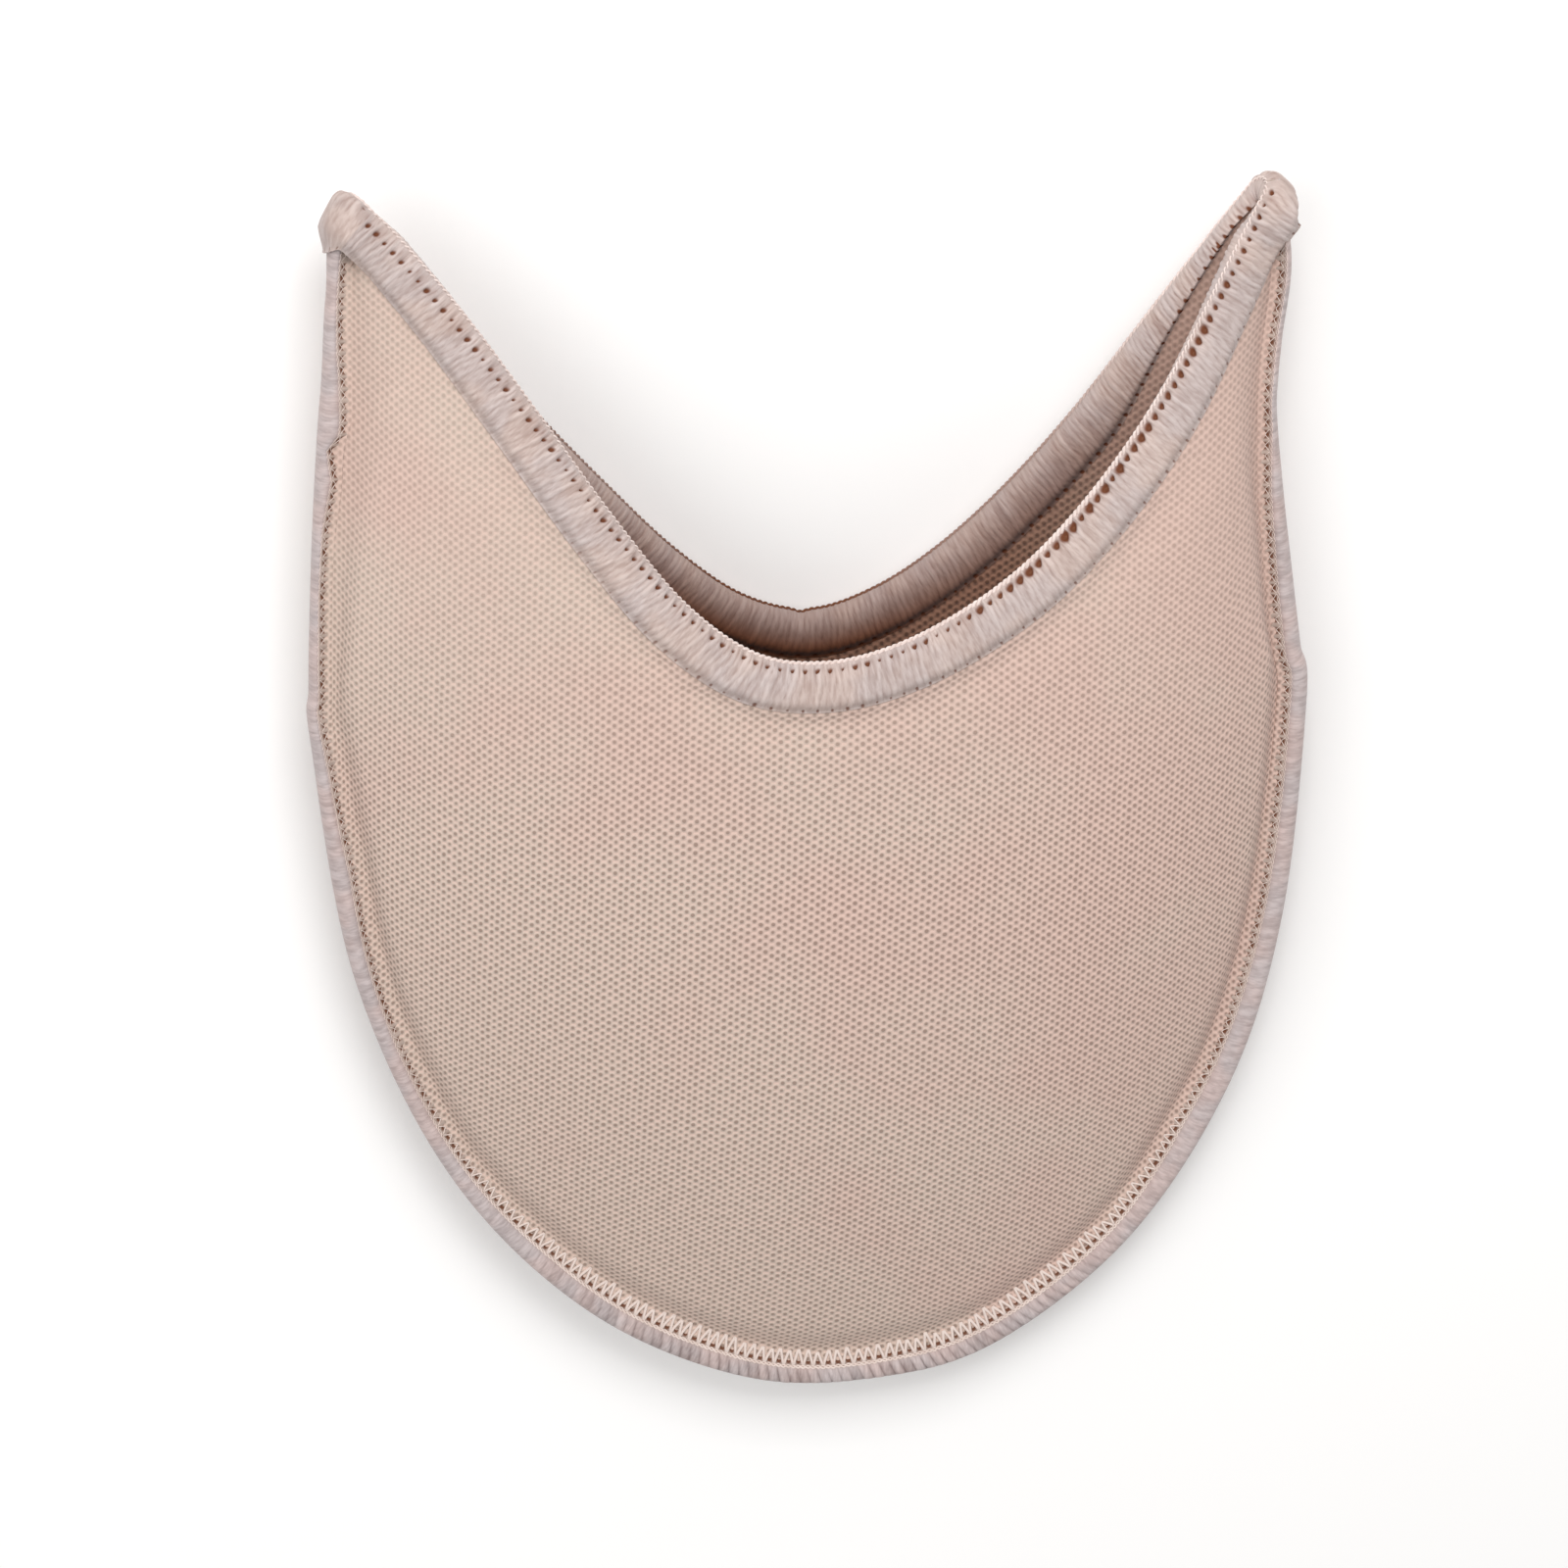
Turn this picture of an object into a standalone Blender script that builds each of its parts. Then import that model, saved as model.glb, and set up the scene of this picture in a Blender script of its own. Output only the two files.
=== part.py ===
"""A ballet toe pad: two padded knit panels sewn into a pocket for the toes.

It lies on its back panel as it would on a table. X runs across the pad, +Y from the toe to
the horns at its mouth, and +Z up through the domed front panel. Lengths are in metres.
"""

import bmesh
import bpy
import numpy as np

# Driving sizes of the pad seen from above
WIDTH = 0.0862
TOE_DEPTH = 0.0657
HORN_RISE = 0.0472
HORN_LEAN = 0.00435
SCOOP_DEPTH = 0.0391

# Driving sizes of the pad seen from the side
CROWN_HEIGHT = 0.0165
TOE_SEAM_HEIGHT = 0.0045
HORN_HEIGHT = 0.0090
FLOOR_ROLL = 0.0150

# Cloth, its padding and its stitched edges
PADDING = 0.0024
SEAM_CLOTH = 0.0006
RIM_CLOTH = 0.0016
HORN_CLOTH = 0.0012
PADDING_RUN_IN = 0.0030
THREAD = 0.0005
BAND_WIDTH = 0.0041
HORN_BAND = 0.0035
HORN_INNER_BAND = 0.0012
TOE_FLANGE = 0.0034
HORN_FLANGE = 0.0013
CLEARANCE = 0.0003

# The horn tips, where the band turns over from the front rim to the back rim
TURN_RADIUS = 0.0017
TURN_SETBACK = 0.0034
TURN_SLOT = 0.00015
TURN_SLOT_DEPTH = 0.0002
TURN_NARROWING_SHARE = 0.15
PANEL_SETBACK = 0.0078
SEAM_SETBACK = 0.0074

# Stations along the seam, turns of each horn tip and points of a rib from the seam to the rim
STATIONS = 52
TURN_STEPS = 6
RIB_SHARES = (0.0, 0.04, 0.1, 0.18, 0.28, 0.4, 0.55, 0.7, 0.85, 1.0)
TANGENT_STEP = 0.004  # share of a path on each side of a point
SHARP_ANGLE = 50  # degrees

# How the dome swells: its exponent at the mouth's middle and at the horns
DOME_FULLNESS = 3.1
HORN_FULLNESS = 1.25
RIM_ARCH = 1.15

# How far the horns' form reaches, and the bends: shares of half the seam, a rib and the cloth
BAND_REACH_SHARE = 0.34
LIFT_REACH_SHARE = 0.62
ROLL_SHARE = 0.6
EDGE_ROUNDING_SHARE = 0.6

# The two sides, from the widest line (0) up to the horn tips (1)
SIDE_COLUMNS = ("rise", "left", "right")  # shares of HORN_RISE and of HORN_LEAN
SIDE_LINE = (
    (1.012, 1.060, 0.941),
    (0.835, 0.694, 0.624),
    (0.690, 0.535, 0.753),
    (0.617, 0.436, 0.803),
    (0.545, 0.347, 0.803),
    (0.394, 0.188, 0.614),
    (0.244, 0.059, 0.386),
    (0.104, -0.040, 0.168),
)

# The toe, from the widest line at the left (0) round to the widest line at the right (180)
TOE_COLUMNS = ("turn", "fullness")  # degrees and the share of a plain half ellipse
TOE_LINE = (
    (0, 1.006),
    (20, 1.003),
    (40, 1.000),
    (60, 0.991),
    (80, 0.992),
    (97, 1.000),
    (112, 1.020),
    (130, 1.033),
    (147, 1.034),
    (162, 1.016),
    (180, 1.000),
)

# The two rims, from the middle of the mouth (0) out to the horn tips (1)
RIM_COLUMNS = ("across", "front_left", "front_right", "back_left", "back_right")
RIM_LINE = (  # shares of half of the span from horn to horn and of SCOOP_DEPTH
    (0.00, 0.000, 0.000, 0.000, 0.000),
    (0.15, 0.025, 0.030, 0.043, 0.043),
    (0.30, 0.140, 0.100, 0.160, 0.140),
    (0.45, 0.335, 0.205, 0.320, 0.280),
    (0.60, 0.558, 0.360, 0.495, 0.456),
    (0.75, 0.773, 0.565, 0.690, 0.667),
    (0.90, 0.955, 0.830, 0.900, 0.878),
    (1.00, 1.036, 1.006, 1.036, 1.006),
)

# Colours as linear light, with their roughness
KNIT_FRONT = ((0.60, 0.44, 0.35), 0.85)
KNIT_BACK = ((0.55, 0.40, 0.32), 0.85)
BAND_THREAD = ((0.61, 0.49, 0.43), 0.70)
SEAM_THREAD = ((0.53, 0.44, 0.41), 0.70)

UP = np.array((0.0, 0.0, 1.0))


def column(rows, columns, name):
    """One named column of a table."""
    return np.array([row[columns.index(name)] for row in rows], float)


def smooth(points, per_span=16):
    """A Catmull-Rom curve through the points, as a dense polyline."""
    p = np.asarray(points, float)
    p = np.vstack((2 * p[0] - p[1], p, 2 * p[-1] - p[-2]))
    t = np.linspace(0, 1, per_span, endpoint=False)[:, None]
    spans = []
    for a, b, c, d in zip(p[:-3], p[1:-2], p[2:-1], p[3:]):
        bend = 2 * a - 5 * b + 4 * c - d
        twist = 3 * b - a - 3 * c + d
        spans.append(0.5 * (2 * b + (c - a) * t + bend * t**2 + twist * t**3))
    return np.vstack((*spans, p[-2:-1]))


def arc_lengths(path):
    """Distance along a polyline at each of its points."""
    return np.concatenate(([0.0], np.cumsum(np.linalg.norm(np.diff(path, axis=0), axis=1))))


def at_shares(path, shares):
    """Points at these shares of a polyline's length."""
    lengths = arc_lengths(path)
    return np.column_stack([np.interp(shares * lengths[-1], lengths, k) for k in path.T])


def unit(vectors):
    return vectors / np.linalg.norm(vectors, axis=-1, keepdims=True)


def ease(value):
    """Smooth step from 0 to 1, flat at both ends."""
    v = np.clip(value, 0, 1)
    return v * v * (3 - 2 * v)


def seam_path():
    """Outer edge of the side seam from the left horn tip round the toe to the right one."""
    half = WIDTH / 2
    rise = HORN_RISE * column(SIDE_LINE, SIDE_COLUMNS, "rise")
    left = np.column_stack((HORN_LEAN * column(SIDE_LINE, SIDE_COLUMNS, "left") - half, rise))
    right = np.column_stack((half - HORN_LEAN * column(SIDE_LINE, SIDE_COLUMNS, "right"), rise))
    turn = np.radians(column(TOE_LINE, TOE_COLUMNS, "turn"))
    fullness = column(TOE_LINE, TOE_COLUMNS, "fullness")
    toe = np.column_stack((-half * np.cos(turn), -TOE_DEPTH * np.sin(turn))) * fullness[:, None]
    return smooth(np.vstack((left, toe, right[::-1])))


def rim_path(side):
    """Edge of one rim of the mouth, from the left horn tip to the right one."""
    across = (WIDTH / 2 - HORN_LEAN) * column(RIM_LINE, RIM_COLUMNS, "across")
    left = SCOOP_DEPTH * (column(RIM_LINE, RIM_COLUMNS, side + "_left") - 1) + HORN_RISE
    right = SCOOP_DEPTH * (column(RIM_LINE, RIM_COLUMNS, side + "_right") - 1) + HORN_RISE
    outer = np.column_stack((-across, left))[::-1]
    return smooth(np.vstack((outer, np.column_stack((across, right))[1:])))


def rim_shares(seam_shares, seam_length, rim_length):
    """Where on the rim the ribs end: as far from a horn tip as on the seam, then slower."""
    near = rim_length / seam_length
    out = 1 - np.abs(2 * seam_shares - 1)
    share = (np.sqrt(near**2 + 4 * (1 - near) * out) - near) / (2 * (1 - near))
    return np.where(seam_shares < 0.5, share / 2, 1 - share / 2)


def inward(path, shares, sense):
    """Level unit vectors square to a path, turned by sense towards the cloth."""
    ahead = at_shares(path, np.clip(shares + TANGENT_STEP, 0, 1))
    tangent = ahead - at_shares(path, np.clip(shares - TANGENT_STEP, 0, 1))
    turned = np.column_stack((-tangent[:, 1], tangent[:, 0])) * sense
    return unit(np.column_stack((turned, np.zeros(len(turned)))))


def seam_heights(points):
    """Height of the seam's middle, rising from the toe to the horns."""
    share = (points[:, 1] + TOE_DEPTH) / (TOE_DEPTH + HORN_RISE)
    return TOE_SEAM_HEIGHT + (HORN_HEIGHT - TOE_SEAM_HEIGHT) * share


def rim_heights(shares, side):
    """Height of a rim's middle: arched over the front, low along the back."""
    out = np.abs(2 * shares - 1) / (1 - 2 * TURN_SETBACK / RIM_LENGTH)
    open_share = np.clip(1 - out**2, 0, 1) ** RIM_ARCH
    horn = HORN_HEIGHT + SIDES[side] * TURN_RADIUS
    low = RIM_CLOTH / 2 + CLEARANCE + THREAD + CLEARANCE
    middle = CROWN_HEIGHT if side == "front" else low
    return horn + (middle - horn) * open_share


SEAM = seam_path()
RIMS = {"front": rim_path("front"), "back": rim_path("back")}
SEAM_LENGTH = arc_lengths(SEAM)[-1]
RIM_LENGTH = arc_lengths(RIMS["front"])[-1]
SIDES = {"front": 1.0, "back": -1.0}


def nearness(seam_shares, reach):
    """1 at the horns, falling to 0 at this share of the seam's half length."""
    start = PANEL_SETBACK / SEAM_LENGTH
    out = np.minimum(seam_shares, 1 - seam_shares) - start
    return 1 - ease(out / (reach / 2))


def seam_frames(shares):
    """Points on the seam's outer edge, the way into the cloth and the flange's depth."""
    plan = at_shares(SEAM, shares)
    points = np.column_stack((plan, seam_heights(plan)))
    depth = HORN_FLANGE + (TOE_FLANGE - HORN_FLANGE) * ease(1 - np.abs(2 * shares - 1))
    return points, inward(SEAM, shares, 1.0), depth


def rim_points(side, rim):
    """Points on a rim's outer edge."""
    return np.column_stack((at_shares(RIMS[side], rim), rim_heights(rim, side)))


def seam_strip_end(side):
    """Where a panel leaves the side seam's stitches."""
    points, into, flange = seam_frames(PANEL_SHARES)
    level = UP * SIDES[side] * (CLEARANCE + SEAM_CLOTH) / 2
    return points + level + into * (flange[:, None] + CLEARANCE)


def rim_frames(side, rim, near, chord):
    """A rim's edge points, the way into the cloth, its outer normal and half its cloth.

    In the middle of the mouth the cloth lies level there, and near a horn it runs along the
    chord straight to the seam.
    """
    points = rim_points(side, rim)
    level = inward(RIMS[side], rim, -1.0)
    into = unit(level * (1 - near[:, None]) + chord * near[:, None])
    along = np.gradient(points, axis=0)
    normal = unit(np.cross(into, along)) * SIDES[side]
    normal *= np.sign(normal[:, 2:3]) * SIDES[side]
    cloth = RIM_CLOTH + (HORN_CLOTH - RIM_CLOTH) * near
    return points, into, normal, cloth / 2


PANEL_SHARES = np.linspace(PANEL_SETBACK / SEAM_LENGTH, 1 - PANEL_SETBACK / SEAM_LENGTH, STATIONS)
RIM_SHARES = rim_shares(PANEL_SHARES, SEAM_LENGTH, RIM_LENGTH)
RIM_NEAR = nearness(PANEL_SHARES, BAND_REACH_SHARE)
BAND = BAND_WIDTH + (HORN_BAND - BAND_WIDTH) * RIM_NEAR


def interior(side, start, end, t, lift):
    """A rib's points between its two stitched strips, at a share t of the way."""
    plan = start + (end - start) * t
    low, high = start[:, 2], end[:, 2]
    if side == "front":
        power = HORN_FULLNESS + (DOME_FULLNESS - HORN_FULLNESS) * (1 - lift)
        plan[:, 2] = low + (high - low) * (1 - (1 - t) ** power)
        return plan
    floor = PADDING / 2
    length = np.linalg.norm(end - start, axis=1)
    roll = np.minimum(FLOOR_ROLL, ROLL_SHARE * length)
    from_seam = np.clip(1 - t * length / roll, 0, 1) ** 2
    from_rim = np.clip(1 - (1 - t) * length / roll, 0, 1) ** 2
    resting = floor + (low - floor) * from_seam + (high - floor) * from_rim
    plan[:, 2] = resting * (1 - lift) + plan[:, 2] * lift
    return plan


def panel_middle(side):
    """Middle surface of a panel as a grid, with its half thickness and its normals."""
    sign = SIDES[side]
    seam, into_seam, _ = seam_frames(PANEL_SHARES)
    start = seam_strip_end(side)
    chord = unit(start - rim_points(side, RIM_SHARES))
    rim, into_rim, rim_normal, half_rim = rim_frames(side, RIM_SHARES, RIM_NEAR, chord)
    seam = seam + UP * sign * (CLEARANCE + SEAM_CLOTH) / 2
    edge = THREAD + CLEARANCE
    end = rim + into_rim * (BAND[:, None] + CLEARANCE)
    lift = nearness(PANEL_SHARES, LIFT_REACH_SHARE)
    rows = [seam + into_seam * edge]
    rows += [interior(side, start, end, t, lift) for t in RIB_SHARES]
    rows.append(rim + into_rim * edge)
    grid = np.array(rows)
    normals = unit(np.cross(np.gradient(grid, axis=1), np.gradient(grid, axis=0)))
    normals *= np.sign(normals[:, :, 2:3]) * sign
    normals[:2] = UP * sign
    normals[-2:] = rim_normal
    travel = np.linalg.norm(grid - grid[1], axis=2)
    back = np.linalg.norm(grid - grid[-2], axis=2)
    full = ease(travel / PADDING_RUN_IN) * ease(back / PADDING_RUN_IN)
    strip = np.where(travel < back, SEAM_CLOTH / 2, half_rim[None, :])
    half = strip + (PADDING / 2 - strip) * full
    half[:2] = SEAM_CLOTH / 2
    half[-2:] = half_rim
    return grid, normals, half


def add_object(name, mesh, colour):
    """Link a closed mesh as one named object with its own material, facing out."""
    bmesh.ops.recalc_face_normals(mesh, faces=mesh.faces)
    bmesh.ops.triangulate(mesh, faces=mesh.faces)
    data = bpy.data.meshes.new(name)
    mesh.to_mesh(data)
    mesh.free()
    tint, roughness = colour
    material = bpy.data.materials.new(name)
    material.use_nodes = True
    shader = material.node_tree.nodes["Principled BSDF"]
    shader.inputs["Base Color"].default_value = (*tint, 1.0)
    shader.inputs["Roughness"].default_value = roughness
    shader.inputs["Metallic"].default_value = 0.0
    data.materials.append(material)
    data.shade_smooth()
    data.set_sharp_from_angle(angle=np.radians(SHARP_ANGLE))
    made = bpy.data.objects.new(name, data)
    bpy.context.scene.collection.objects.link(made)
    return made


def add_panel(name, side, colour):
    """A padded panel: its outer and inner faces, closed along all four edges."""
    grid, normals, half = panel_middle(side)
    skins = (grid + normals * half[:, :, None], grid - normals * half[:, :, None])
    mesh = bmesh.new()
    outer, inner = ([[mesh.verts.new(p) for p in row] for row in skin] for skin in skins)
    rows, columns = len(outer), len(outer[0])
    for i in range(rows - 1):
        for j in range(columns - 1):
            for skin in (outer, inner):
                mesh.faces.new((skin[i][j], skin[i + 1][j], skin[i + 1][j + 1], skin[i][j + 1]))
    border = [(0, j) for j in range(columns)] + [(i, columns - 1) for i in range(1, rows)]
    border += [(rows - 1, j) for j in range(columns - 2, -1, -1)] + [(i, 0) for i in range(rows - 2, 0, -1)]
    for (i, j), (k, m) in zip(border, border[1:] + border[:1]):
        mesh.faces.new((outer[i][j], outer[k][m], inner[k][m], inner[i][j]))
    return add_object(name, mesh, colour)


def add_sweep(name, sections, closed, colour):
    """A solid lofted through like sections, as a ring or with its two ends capped."""
    mesh = bmesh.new()
    loops = [[mesh.verts.new(p) for p in section] for section in sections]
    pairs = list(zip(loops, loops[1:] + loops[:1])) if closed else list(zip(loops, loops[1:]))
    for a, b in pairs:
        for k in range(len(a)):
            n = (k + 1) % len(a)
            mesh.faces.new((a[k], a[n], b[n], b[k]))
    if not closed:
        mesh.faces.new(loops[0])
        mesh.faces.new(loops[-1])
    return add_object(name, mesh, colour)


def band_section(point, into, normal, width, inner_width, slot, bottom, half):
    """The band's section: it folds over the cloth's edge and is open on the cloth's side."""
    rounding = half * EDGE_ROUNDING_SHARE
    corners = (
        (width, slot),
        (width, half),
        (width / 2, half),
        (rounding, half),
        (0.0, half - rounding),
        (0.0, rounding - half),
        (rounding, -half),
        ((rounding + inner_width) / 2, -half),
        (inner_width, -half),
        (inner_width, -slot),
        (bottom, -slot),
        (bottom, slot),
    )
    return [point + into * deep + normal * out for deep, out in corners]


def rim_sections(side):
    """The band's sections over one rim, from the left horn to the right one."""
    lead = TURN_SETBACK / RIM_LENGTH
    leads = np.array((lead, (lead + RIM_SHARES[0]) / 2))
    rim = np.concatenate((leads, RIM_SHARES, 1 - leads[::-1]))
    closed = np.array((1.0, 0.5))
    shut = np.concatenate((closed, np.zeros(STATIONS), closed[::-1]))
    near = np.concatenate((1 - closed, RIM_NEAR, (1 - closed)[::-1]))
    chord = unit(seam_strip_end(side) - rim_points(side, RIM_SHARES))
    chord = np.vstack((chord[:1], chord[:1], chord, chord[-1:], chord[-1:]))
    points, into, normal, half_cloth = rim_frames(side, rim, near, chord)
    cloth_near = np.concatenate((np.ones(2), RIM_NEAR, np.ones(2)))
    width = BAND_WIDTH + (HORN_BAND - BAND_WIDTH) * cloth_near
    half_cloth = (RIM_CLOTH + (HORN_CLOTH - RIM_CLOTH) * cloth_near) / 2
    half = half_cloth + CLEARANCE + THREAD
    slot = (half_cloth + CLEARANCE) * (1 - shut) + TURN_SLOT * shut
    inner = BAND_WIDTH + (HORN_INNER_BAND - BAND_WIDTH) * cloth_near
    bottom = THREAD * (1 - shut) + (HORN_INNER_BAND - TURN_SLOT_DEPTH) * shut
    return [
        dict(point=p, into=m, normal=n, width=w, inner_width=i, slot=s, bottom=b, half=h)
        for p, m, n, w, i, s, b, h in zip(points, into, normal, width, inner, slot, bottom, half)
    ]


def horn_turn(first, last):
    """The band's sections round a horn tip, from one rim's last section to the other's."""
    centre = (first["point"] + last["point"]) / 2
    arm = first["point"] - centre
    into = unit(first["into"] + last["into"])
    tip = unit(np.cross(into, arm))
    tip *= np.sign(tip[1])
    turned = []
    for k in range(1, TURN_STEPS):
        angle = np.pi * k / TURN_STEPS
        outward = unit(arm) * np.cos(angle) + tip * np.sin(angle)
        section = dict(first)
        section["point"] = centre + outward * np.linalg.norm(arm)
        section["into"] = into
        section["normal"] = outward
        section["width"] = HORN_BAND * (1 - TURN_NARROWING_SHARE * np.sin(angle))
        turned.append(section)
    return turned


def add_mouth_binding(name, colour):
    """One ring of overlock over the front rim, both horn tips and the back rim."""
    front = rim_sections("front")
    back = rim_sections("back")[::-1]
    ring = front + horn_turn(front[-1], back[0]) + back + horn_turn(front[0], back[-1])[::-1]
    return add_sweep(name, [band_section(**section) for section in ring], True, colour)


def add_side_seam_binding(name, colour):
    """A strip of overlock that wraps both panels' edges from horn to horn round the toe."""
    lead = SEAM_SETBACK / SEAM_LENGTH
    shares = np.concatenate(([lead], PANEL_SHARES, [1 - lead]))
    points, into, depth = seam_frames(shares)
    slot = CLEARANCE / 2 + SEAM_CLOTH + CLEARANCE
    sections = [
        band_section(p, m, UP, d, d, slot, THREAD, slot + THREAD)
        for p, m, d in zip(points, into, depth)
    ]
    return add_sweep(name, sections, False, colour)


def centre_on_floor(parts):
    """Move the pad so that the middle of its box lies over the origin, on z = 0."""
    corners = np.array([v.co for part in parts for v in part.data.vertices])
    middle = (corners.min(axis=0) + corners.max(axis=0)) / 2
    shift = np.array((middle[0], middle[1], corners[:, 2].min()))
    for part in parts:
        for v in part.data.vertices:
            v.co = np.array(v.co) - shift


for old in list(bpy.data.objects):
    bpy.data.objects.remove(old, do_unlink=True)

centre_on_floor(
    [
        add_panel("front_panel", "front", KNIT_FRONT),
        add_panel("back_panel", "back", KNIT_BACK),
        add_mouth_binding("mouth_binding", BAND_THREAD),
        add_side_seam_binding("side_seam_binding", SEAM_THREAD),
    ]
)
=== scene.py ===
"""Looks of a padded ballet toe pad, lying on its back panel on a pale floor.

X runs across the pad, +Y from the toe to the horns at its mouth, +Z up. Lengths are in metres.
"""

import bpy
import numpy as np
from mathutils import Matrix, Vector
from mathutils.bvhtree import BVHTree


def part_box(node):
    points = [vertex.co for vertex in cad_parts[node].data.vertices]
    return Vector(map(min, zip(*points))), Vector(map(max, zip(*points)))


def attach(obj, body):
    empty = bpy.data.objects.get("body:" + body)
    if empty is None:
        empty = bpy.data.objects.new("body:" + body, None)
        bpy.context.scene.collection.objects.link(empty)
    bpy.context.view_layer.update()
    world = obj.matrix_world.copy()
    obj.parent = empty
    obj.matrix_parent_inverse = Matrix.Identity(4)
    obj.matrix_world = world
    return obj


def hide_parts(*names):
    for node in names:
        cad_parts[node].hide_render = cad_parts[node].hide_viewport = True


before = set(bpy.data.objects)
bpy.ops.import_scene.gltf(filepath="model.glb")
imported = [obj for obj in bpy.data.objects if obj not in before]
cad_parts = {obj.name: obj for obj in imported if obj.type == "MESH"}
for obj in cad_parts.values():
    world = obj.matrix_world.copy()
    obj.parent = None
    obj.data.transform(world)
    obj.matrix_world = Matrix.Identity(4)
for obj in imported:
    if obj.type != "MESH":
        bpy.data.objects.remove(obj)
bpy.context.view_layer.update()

# Front panel
# A shield of nude warp knit over a thin even padding, domed over the toes. Its sides and toe are
# caught flat in the side seam, and its scooped top is caught in the mouth's overlock.
MM = 0.001
WIDTH = 86.2 * MM
TOE_DEPTH = 65.7 * MM
HORN_RISE = 47.2 * MM
HORN_LEAN = 4.35 * MM
SCOOP_DEPTH = 39.1 * MM
CROWN_HEIGHT = 16.5 * MM
TOE_SEAM_HEIGHT = 4.5 * MM
HORN_HEIGHT = 9.0 * MM
FLOOR_ROLL = 15.0 * MM
PADDING = 2.4 * MM
SEAM_CLOTH = 0.6 * MM
RIM_CLOTH = 1.6 * MM
HORN_CLOTH = 1.2 * MM
PADDING_RUN_IN = 4.6 * MM
HORN_RUN_IN = 1.0
INNER_SWELL = 0.3
THREAD = 0.5 * MM
CLEARANCE = 0.3 * MM
BAND_WIDTH = 4.1 * MM
HORN_BAND = 4.1 * MM
HOLE_ROW = 0.70 * MM
TURN_RADIUS = 1.7 * MM
TURN_SETBACK = 3.4 * MM
PANEL_SETBACK = 2.7 * MM
# How much the painted shade on the panels' inner face fades at the horn tips, and over what share of the seam
HORN_PALE = 0.6
HORN_PALE_REACH = 0.62
DOME_FULLNESS = 2.7
HORN_FULLNESS = 1.25
RIM_ARCH = 1.15
BAND_REACH = 0.34
LIFT_REACH = 0.62
ROLL_SHARE = 0.6
STATIONS = 130
RIB_SHARES = 0.5 - 0.5 * np.cos(np.pi * np.linspace(0, 1, 44))
STRIP_SHARES = (0.35, 0.7)
TANGENT_STEP = 0.004
KNIT_GIVE = 1.06
GRAIN_TURN = 0.056
GRAIN_DRIFT = 0.021
SIDE_GATHER = 7e-5

SIDE_COLUMNS = ("rise", "left", "right")  # shares of HORN_RISE and of HORN_LEAN
SIDE_LINE = (
    (1.012, 1.060, 0.941),
    (0.835, 0.694, 0.624),
    (0.690, 0.535, 0.753),
    (0.617, 0.436, 0.803),
    (0.545, 0.347, 0.803),
    (0.394, 0.188, 0.614),
    (0.244, 0.059, 0.386),
    (0.104, -0.040, 0.168),
)
TOE_COLUMNS = ("turn", "fullness")  # degrees and the share of a plain half ellipse
TOE_LINE = (
    (0, 1.006),
    (20, 1.003),
    (40, 1.000),
    (60, 0.991),
    (80, 0.992),
    (97, 1.000),
    (112, 1.020),
    (130, 1.033),
    (147, 1.034),
    (162, 1.016),
    (180, 1.000),
)
RIM_COLUMNS = ("across", "front_left", "front_right", "back_left", "back_right")
RIM_LINE = (  # shares of half of the span from horn to horn and of SCOOP_DEPTH
    (0.00, 0.000, 0.000, 0.000, 0.000),
    (0.15, 0.025, 0.030, 0.043, 0.043),
    (0.30, 0.140, 0.100, 0.160, 0.140),
    (0.45, 0.335, 0.205, 0.320, 0.280),
    (0.60, 0.558, 0.360, 0.495, 0.456),
    (0.75, 0.773, 0.565, 0.690, 0.667),
    (0.90, 0.955, 0.830, 0.900, 0.878),
    (1.00, 1.036, 1.006, 1.036, 1.006),
)
RIBBED_COLUMNS = ("along", "width")  # share of the seam from the left horn, and mm
RIBBED_LINE = (
    (0.000, 0.8),
    (0.020, 0.9),
    (0.049, 1.3),
    (0.070, 1.9),
    (0.075, 1.9),
    (0.080, 1.0),
    (0.090, 1.5),
    (0.107, 0.95),
    (0.128, 0.85),
    (0.161, 1.0),
    (0.205, 1.5),
    (0.224, 1.8),
    (0.286, 1.6),
    (0.337, 1.7),
    (0.387, 2.2),
    (0.450, 2.2),
    (0.500, 2.0),
    (0.550, 2.2),
    (0.623, 2.2),
    (0.663, 2.55),
    (0.723, 2.2),
    (0.790, 1.85),
    (0.858, 1.75),
    (0.894, 1.4),
    (0.915, 0.85),
    (0.964, 0.8),
    (1.000, 0.7),
)
UP = np.array((0.0, 0.0, 1.0))
SIDES = {"front": 1.0, "back": -1.0}


def column(rows, columns, name):
    return np.array([row[columns.index(name)] for row in rows], float)


def smooth(points, per_span=24):
    """A Catmull-Rom curve through the points, as a dense polyline."""
    p = np.asarray(points, float)
    p = np.vstack((2 * p[0] - p[1], p, 2 * p[-1] - p[-2]))
    t = np.linspace(0, 1, per_span, endpoint=False)[:, None]
    spans = []
    for a, b, c, d in zip(p[:-3], p[1:-2], p[2:-1], p[3:]):
        bend = 2 * a - 5 * b + 4 * c - d
        twist = 3 * b - a - 3 * c + d
        spans.append(0.5 * (2 * b + (c - a) * t + bend * t**2 + twist * t**3))
    return np.vstack((*spans, p[-2:-1]))


def arc_lengths(path):
    return np.concatenate(([0.0], np.cumsum(np.linalg.norm(np.diff(path, axis=0), axis=1))))


def at_shares(path, shares):
    lengths = arc_lengths(path)
    return np.column_stack([np.interp(shares * lengths[-1], lengths, k) for k in path.T])


def unit(vectors):
    return vectors / np.linalg.norm(vectors, axis=-1, keepdims=True)


def ease(value):
    v = np.clip(value, 0, 1)
    return v * v * (3 - 2 * v)


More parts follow.
